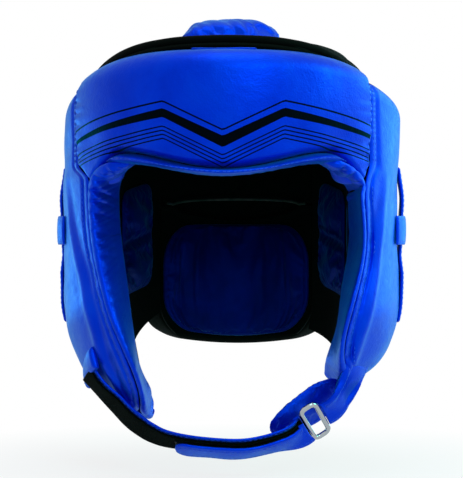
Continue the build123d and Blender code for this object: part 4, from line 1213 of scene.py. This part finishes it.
# %% [markdown]
# The ring hangs from a leather tab that widens towards the right cheek and is pleated where
# it bends. The flap keeps the ring off the chin. It is a pillow along a path of its own.
# %% Ring tab and chin flap
TAB = [(74.0, -63.8, -107.0, 0.68, -0.55, -0.40), (80.6, -61.4, -97.0, 0.82, -0.50, -0.25),
       (84.0, -58.4, -86.0, 0.82, -0.52, -0.12), (86.0, -56.6, -76.0, 0.82, -0.56, -0.05)]
path, outs = route(to_ring(1)[::-1] + TAB, 120)
wide = mix(21.0, 33.0, np.linspace(0, 1, 120) ** 1.6)
ribbon("ring_tab_leather", path, outs, wide, 4.0, ["ring_tab"], wavy=0.9, sewn=3.0,
       pleats=(23.0, 7.0, 3.4), body="chin_strap_body")
FLAP = [(75.0, -55.0, -96.0, 0.50, -0.72, -0.45), (64.5, -56.8, -106.0, 0.42, -0.74, -0.50),
        (53.5, -60.0, -114.0, 0.34, -0.72, -0.58), (41.0, -64.0, -121.0, 0.22, -0.70, -0.68),
        (28.5, -68.0, -126.5, 0.10, -0.68, -0.72)]
path, outs = route(FLAP, 90)
_, across, out = axes(path, outs)
s, q = np.meshgrid(fine(60, 0.6), np.linspace(0, 1, 90))
full = pillow(s, q, 2.4)
half = 16.5 * (0.12 + 0.88 * np.maximum(1 - np.abs(2 * q - 1) ** 2.4, 0) ** 0.6)
wide = ((2 * s - 1) * half)[..., None] * across[:, None]
pucker = gathers(q * 58.0, 6.0, 1.0) * 0.5 * (1 - full)
outer, inner = (path[:, None] + wide + out[:, None] * (thick * full + pucker)[..., None]
                for thick in (2.9, -2.9))
flap = shell("chin_flap", outer, inner, ["chin_pad"], body="chin_strap_body")
inflate(flap, rim_of(outer), 2.0, 1.2, 0.9)

# %% [markdown]
# A padded patch on the left cheek holds the strap's sewn end. It lies on the wall, so its
# path is a slanting line of angles and heights.
# %% Strap keeper
angle, height = np.linspace(53.0, 72.0, 90), np.linspace(-78.5, -95.5, 90)
path = on_wall(-angle, wall(angle) - CROWN + 2.3, height)
outs = on_wall(-angle, wall(angle) + 20.0, height) - path
ribbon("keeper_patch", path, outs, 15.0, 4.8, ["strap_keeper"], wavy=0.3, crown=0.8, sewn=2.4)

# %% [markdown]
# The rear closes with a strap of loop-backed leather pressed on a patch of the other
# fabric. It bends round the back of the head, so its path is an arc on the wall.
# %% Rear closure
for name, half_angle, tall, thick, depth, turned, node_name, wear in (
        ("rear_patch_pile", 23.0, 29.0, 1.2, 30.3, 0.0, "rear_loop_patch", {"look": "loop_fabric"}),
        ("rear_strap_leather", 26.0, 32.0, 3.0, 31.8, 4.0, "rear_strap",
         {"round_end": -8.0, "sewn": 2.6, "body": "rear_strap_body"})):
    angle = 180.0 + turned + np.linspace(-half_angle, half_angle, 120)
    path = on_wall(angle, depth, 20.0)
    outs = on_wall(angle, depth + 5.0, 20.0) - path
    ribbon(name, path, outs, tall, thick, [node_name], wavy=0.15, **wear)

# %% [markdown]
# The picture is taken level with the ears from 1.3 m, a touch to the right. The floor and
# the backdrop are white to the camera and plain grey to everything else, so they don't
# wash the leather out. One large soft lamp from the upper right makes the brow's highlight.
# %% Floor, lamps and camera
def seen_ray(tree):
    """1 for rays from the camera, a mirror or a glass, 0 for the rays that carry light."""
    rays = node(tree, "LightPath").outputs
    mirror = maths(tree, "ADD", rays["Is Glossy Ray"], rays["Is Transmission Ray"])
    return maths(tree, "ADD", rays["Is Camera Ray"], mirror, clamp=True)


def backdrop(name, value, near, far):
    """A plain surface that takes the shadow near the middle and glows white away from it."""
    made, tree, shader, place = material(name)
    feed(tree, shader, Base_Color=(value,) * 3, Roughness=0.9, Specular_IOR_Level=0.0)
    away = joined(tree, "VectorMath", place, operation="LENGTH", output="Value")
    fade = joined(tree, "MapRange", away, near, far, 0.8, 1.0)
    glow = node(tree, "Emission", Strength=1.0).outputs[0]
    both = joined(tree, "MixShader", maths(tree, "MULTIPLY", fade, seen_ray(tree)),
                  shader.outputs[0], glow)
    into(tree, tree.nodes["Material Output"].inputs[0], both)
    return made


mesh = bpy.data.meshes.new("floor")
ground = cad_box[0][2] - 0.002
mesh.from_pydata([(-4, -4, ground), (4, -4, ground), (4, 4, ground), (-4, 4, ground)], [], [(0, 1, 2, 3)])
mesh.materials.append(backdrop("pale_floor", 0.85, 0.14, 0.34))
floor = put("floor", mesh)

world = bpy.data.worlds.new("studio")
bpy.context.scene.world = world
world.use_nodes = True
tree = world.node_tree
glow = joined(tree, "MapRange", seen_ray(tree), 0.0, 1.0, 0.10, 1.0)
feed(tree, tree.nodes["Background"], Color=(1, 1, 1), Strength=glow)


def lamp(name, place, size, power, colour=(0.4, 0.96, 1.0)):
    """Square area lamp that looks at the headgear's middle."""
    light = bpy.data.lights.new(name, "AREA")
    light.size, light.energy, light.color = size, power, colour
    thing = put(name, light)
    thing.location = place
    thing.rotation_mode = "QUATERNION"
    thing.rotation_quaternion = (-thing.location).to_track_quat("-Z", "Y")


for setup in (("key", (0.5, -1.4, 0.9), 0.6, 6.8),
              ("right", (1.25, -0.18, 0.68), 0.8, 12.0, (0.12, 1.0, 0.65)),
              ("left", (-1.2, -0.6, -0.6), 0.6, 4.5, (0.1, 1.0, 0.95)),
              ("top", (0.0, -0.3, 1.6), 0.8, 6.5),
              ("low", (0.1, -1.4, -0.7), 0.6, 2.5, (0.1, 0.9, 1.0)),
              ("rim_right", (1.1, 0.9, 0.3), 0.9, 8.5, (0.12, 0.9, 1.0)),
              ("rim_left", (-1.1, 0.9, -0.3), 0.8, 6.5, (0.1, 0.9, 1.0))):
    lamp(*setup)

lens = bpy.data.cameras.new("camera")
lens.lens, lens.sensor_width = 139.0, 36.0
camera = put("camera", lens)
away, yaw = 1.3, math.radians(2.5)
camera.location = (away * math.sin(yaw), -away * math.cos(yaw), 0.0)
camera.rotation_euler = (math.radians(90), 0.0, yaw)
bpy.context.scene.camera = camera
bpy.context.scene.view_settings.view_transform = "Standard"

# %% Print the measured CAD box
print("CAD box:", [tuple(round(v, 4) for v in c) for c in cad_box])
